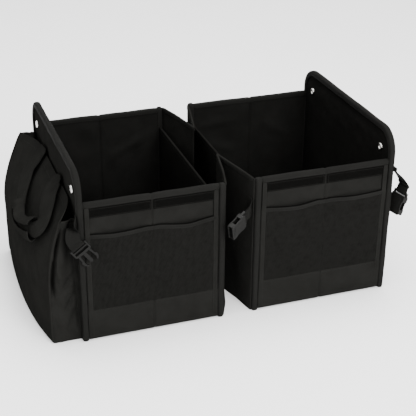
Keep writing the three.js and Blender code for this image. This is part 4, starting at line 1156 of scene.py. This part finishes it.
def block(soup, xs, zs, ys, flip=1):
    """A straight block; flip -1 puts it on the other side."""
    x0, x1 = sorted(flip * x for x in xs)
    z0, z1 = zs
    prism(soup, [(x0, z0), (x1, z0), (x1, z1), (x0, z1)], *ys)


def sides(points):
    """The outline's right half given from bottom to top, with its mirror image."""
    return points + [(-x, z) for x, z in reversed(points)]


def bar_and_arms():
    soup = Soup()
    turns = np.linspace(0, 2 * math.pi, 16, endpoint=False)
    circle = 1.5 * np.stack([np.cos(turns), np.sin(turns)], 1)
    soup.sweep([(x, 0, 0) for x in (-BUCKLE_HALF + 1.5, 0, BUCKLE_HALF - 1.5)], (0, 1, 0), circle)
    for side in (-1, 1):
        block(soup, (BUCKLE_HALF - ARM, BUCKLE_HALF), (-1.5, 8.0), (-2.0, 2.0), side)
    return soup


def female():
    soup = bar_and_arms()
    half = BUCKLE_HALF
    shoulders = [(half - 2.5, SLOT_FROM), (half - 0.7, 6.2), (half, 9)]
    plate = sides(shoulders + [
        (half, 14.5), (half - 1.3, 17.2), (half - 1.6, 20), (half - 1.6, 26), (half - 1.3, 28.8), (half, 31.5),
        (half, 38), (half - 0.8, 40.2), (half - 2.4, 41.0),
    ])
    for low, high in ((-5.5, -3.4), (3.4, 5.5)):
        prism(soup, plate, low, high)
    prism(soup, sides(shoulders + [(half, 12)]), -3.6, 3.6)
    for side in (-1, 1):
        for zs in ((11, 15.5), (30.5, 39.5)):
            block(soup, (half - 2, half - 0.1), zs, (-3.6, 3.6), side)
    for face in (-1, 1):
        for z in (33.5, 35.7, 37.9):
            block(soup, (-9, 9), (z - 0.45, z + 0.45), sorted((face * 5.3, face * 5.95)))
        prism(soup, sides([(7.5, 9.5), (9.5, 12), (9.5, 24), (7.5, 26.5)]), *sorted((face * 5.3, face * 5.8)))
    return soup


def male():
    soup = bar_and_arms()
    half = BUCKLE_HALF
    block(soup, (-half + 0.1, half - 0.1), (SLOT_FROM, SLOT_FROM + 3), (-1.8, 1.8))
    prism(soup, sides([(half, 12.0), (half, 13.6), (half - 1.6, 15.6), (half - 4.5, 16.6), (0.01, 17.0)]), -2.0, 2.0)
    prong = [
        (8.8, 16.0), (12.2, 16.0), (12.9, 20), (13.0, 24), (13.0, 27.5), (15.4, 29.6), (15.5, 32.5), (14.8, 35.5),
        (13.2, 38.6), (11.0, 41.0), (9.2, 41.6), (8.2, 40.8), (8.5, 39.4), (9.9, 38.2), (10.8, 35.5), (10.6, 30),
        (10.0, 24),
    ]
    for side in (-1, 1):
        block(soup, (half - ARM + 0.1, half - 0.1), (6, 13), (-1.9, 1.9), side)
        prism(soup, [(side * x, z) for x, z in prong], -1.7, 1.7)
    prism(soup, sides([(3.2, 15.5), (3.2, 34.5), (2.2, 37.6), (0.9, 38.6)]), -1.2, 1.2)
    for side in (-1, 1):
        block(soup, (1.7, 3.2), (16, 36), (-1.8, 1.8), side)
    for x in np.linspace(-11, 11, 9):
        block(soup, (x - 0.45, x + 0.45), (SLOT_FROM + 0.9, SLOT_FROM + 2.7), (1.7, 2.3))
    return soup


def rounded(piece):
    bevel = piece.modifiers.new("edges", "BEVEL")
    bevel.width = 0.00035
    bevel.segments = 2
    bevel.limit_method = "ANGLE"
    bevel.angle_limit = math.radians(40)
    bevel.harden_normals = False


for side, shape in (("left", male), ("middle", female), ("right", female)):
    hang = HANGS[side]
    both_ends(strap(hang), side + "_{}_webbing", WEB_LOOK, side + "_{}_strap")
    bar, along, across, third = hang_frame(hang)
    buckle = shape().changed(np.stack([across, -third, along]), bar)
    for place, soup in (("front", buckle), ("back", buckle.to_back())):
        node = f"{side}_{place}_buckle"
        rounded(soup.make(f"{side}_{place}_clip", PLASTIC_LOOK, node, body=node))

seams.make("stitching", THREAD_LOOK, sharp=80)


# ---- Floor and lights ----

def ground(size=12.0):
    mesh = bpy.data.meshes.new("ground")
    corners = [(x * size, y * size, 0) for x, y in ((-1, -1), (1, -1), (1, 1), (-1, 1))]
    mesh.from_pydata(corners, [], [(0, 1, 2, 3)])
    m = Nodes("pale_floor", 0.85, 0.2)
    m.tint(m.noise(3.0, 2.0), (0.93, 0.93, 0.93), (0.95, 0.95, 0.95))
    mesh.materials.append(m.material)
    made = in_scene("ground", mesh)
    made.location.z = -0.0004


def area(name, at, aim, size, power):
    light = in_scene(name, bpy.data.lights.new(name, "AREA"))
    light.data.shape = "RECTANGLE"
    light.data.size, light.data.size_y = size
    light.data.energy = power
    light.location = at
    light.rotation_mode = "QUATERNION"
    light.rotation_quaternion = (Vector(aim) - Vector(at)).to_track_quat("-Z", "Y")


ground()
world = bpy.data.worlds.new("studio")
world.use_nodes = True
backdrop = world.node_tree.nodes["Background"].inputs
backdrop["Color"].default_value = (1.0, 1.0, 1.0, 1)
backdrop["Strength"].default_value = 1.65
bpy.context.scene.world = world
area("key", (0.5, -3.0, 1.9), (0, 0, 0.1), (1.9, 1.4), 190)
area("top", (0.2, 0.2, 3.0), (0, 0, 0), (2.2, 2.2), 130)
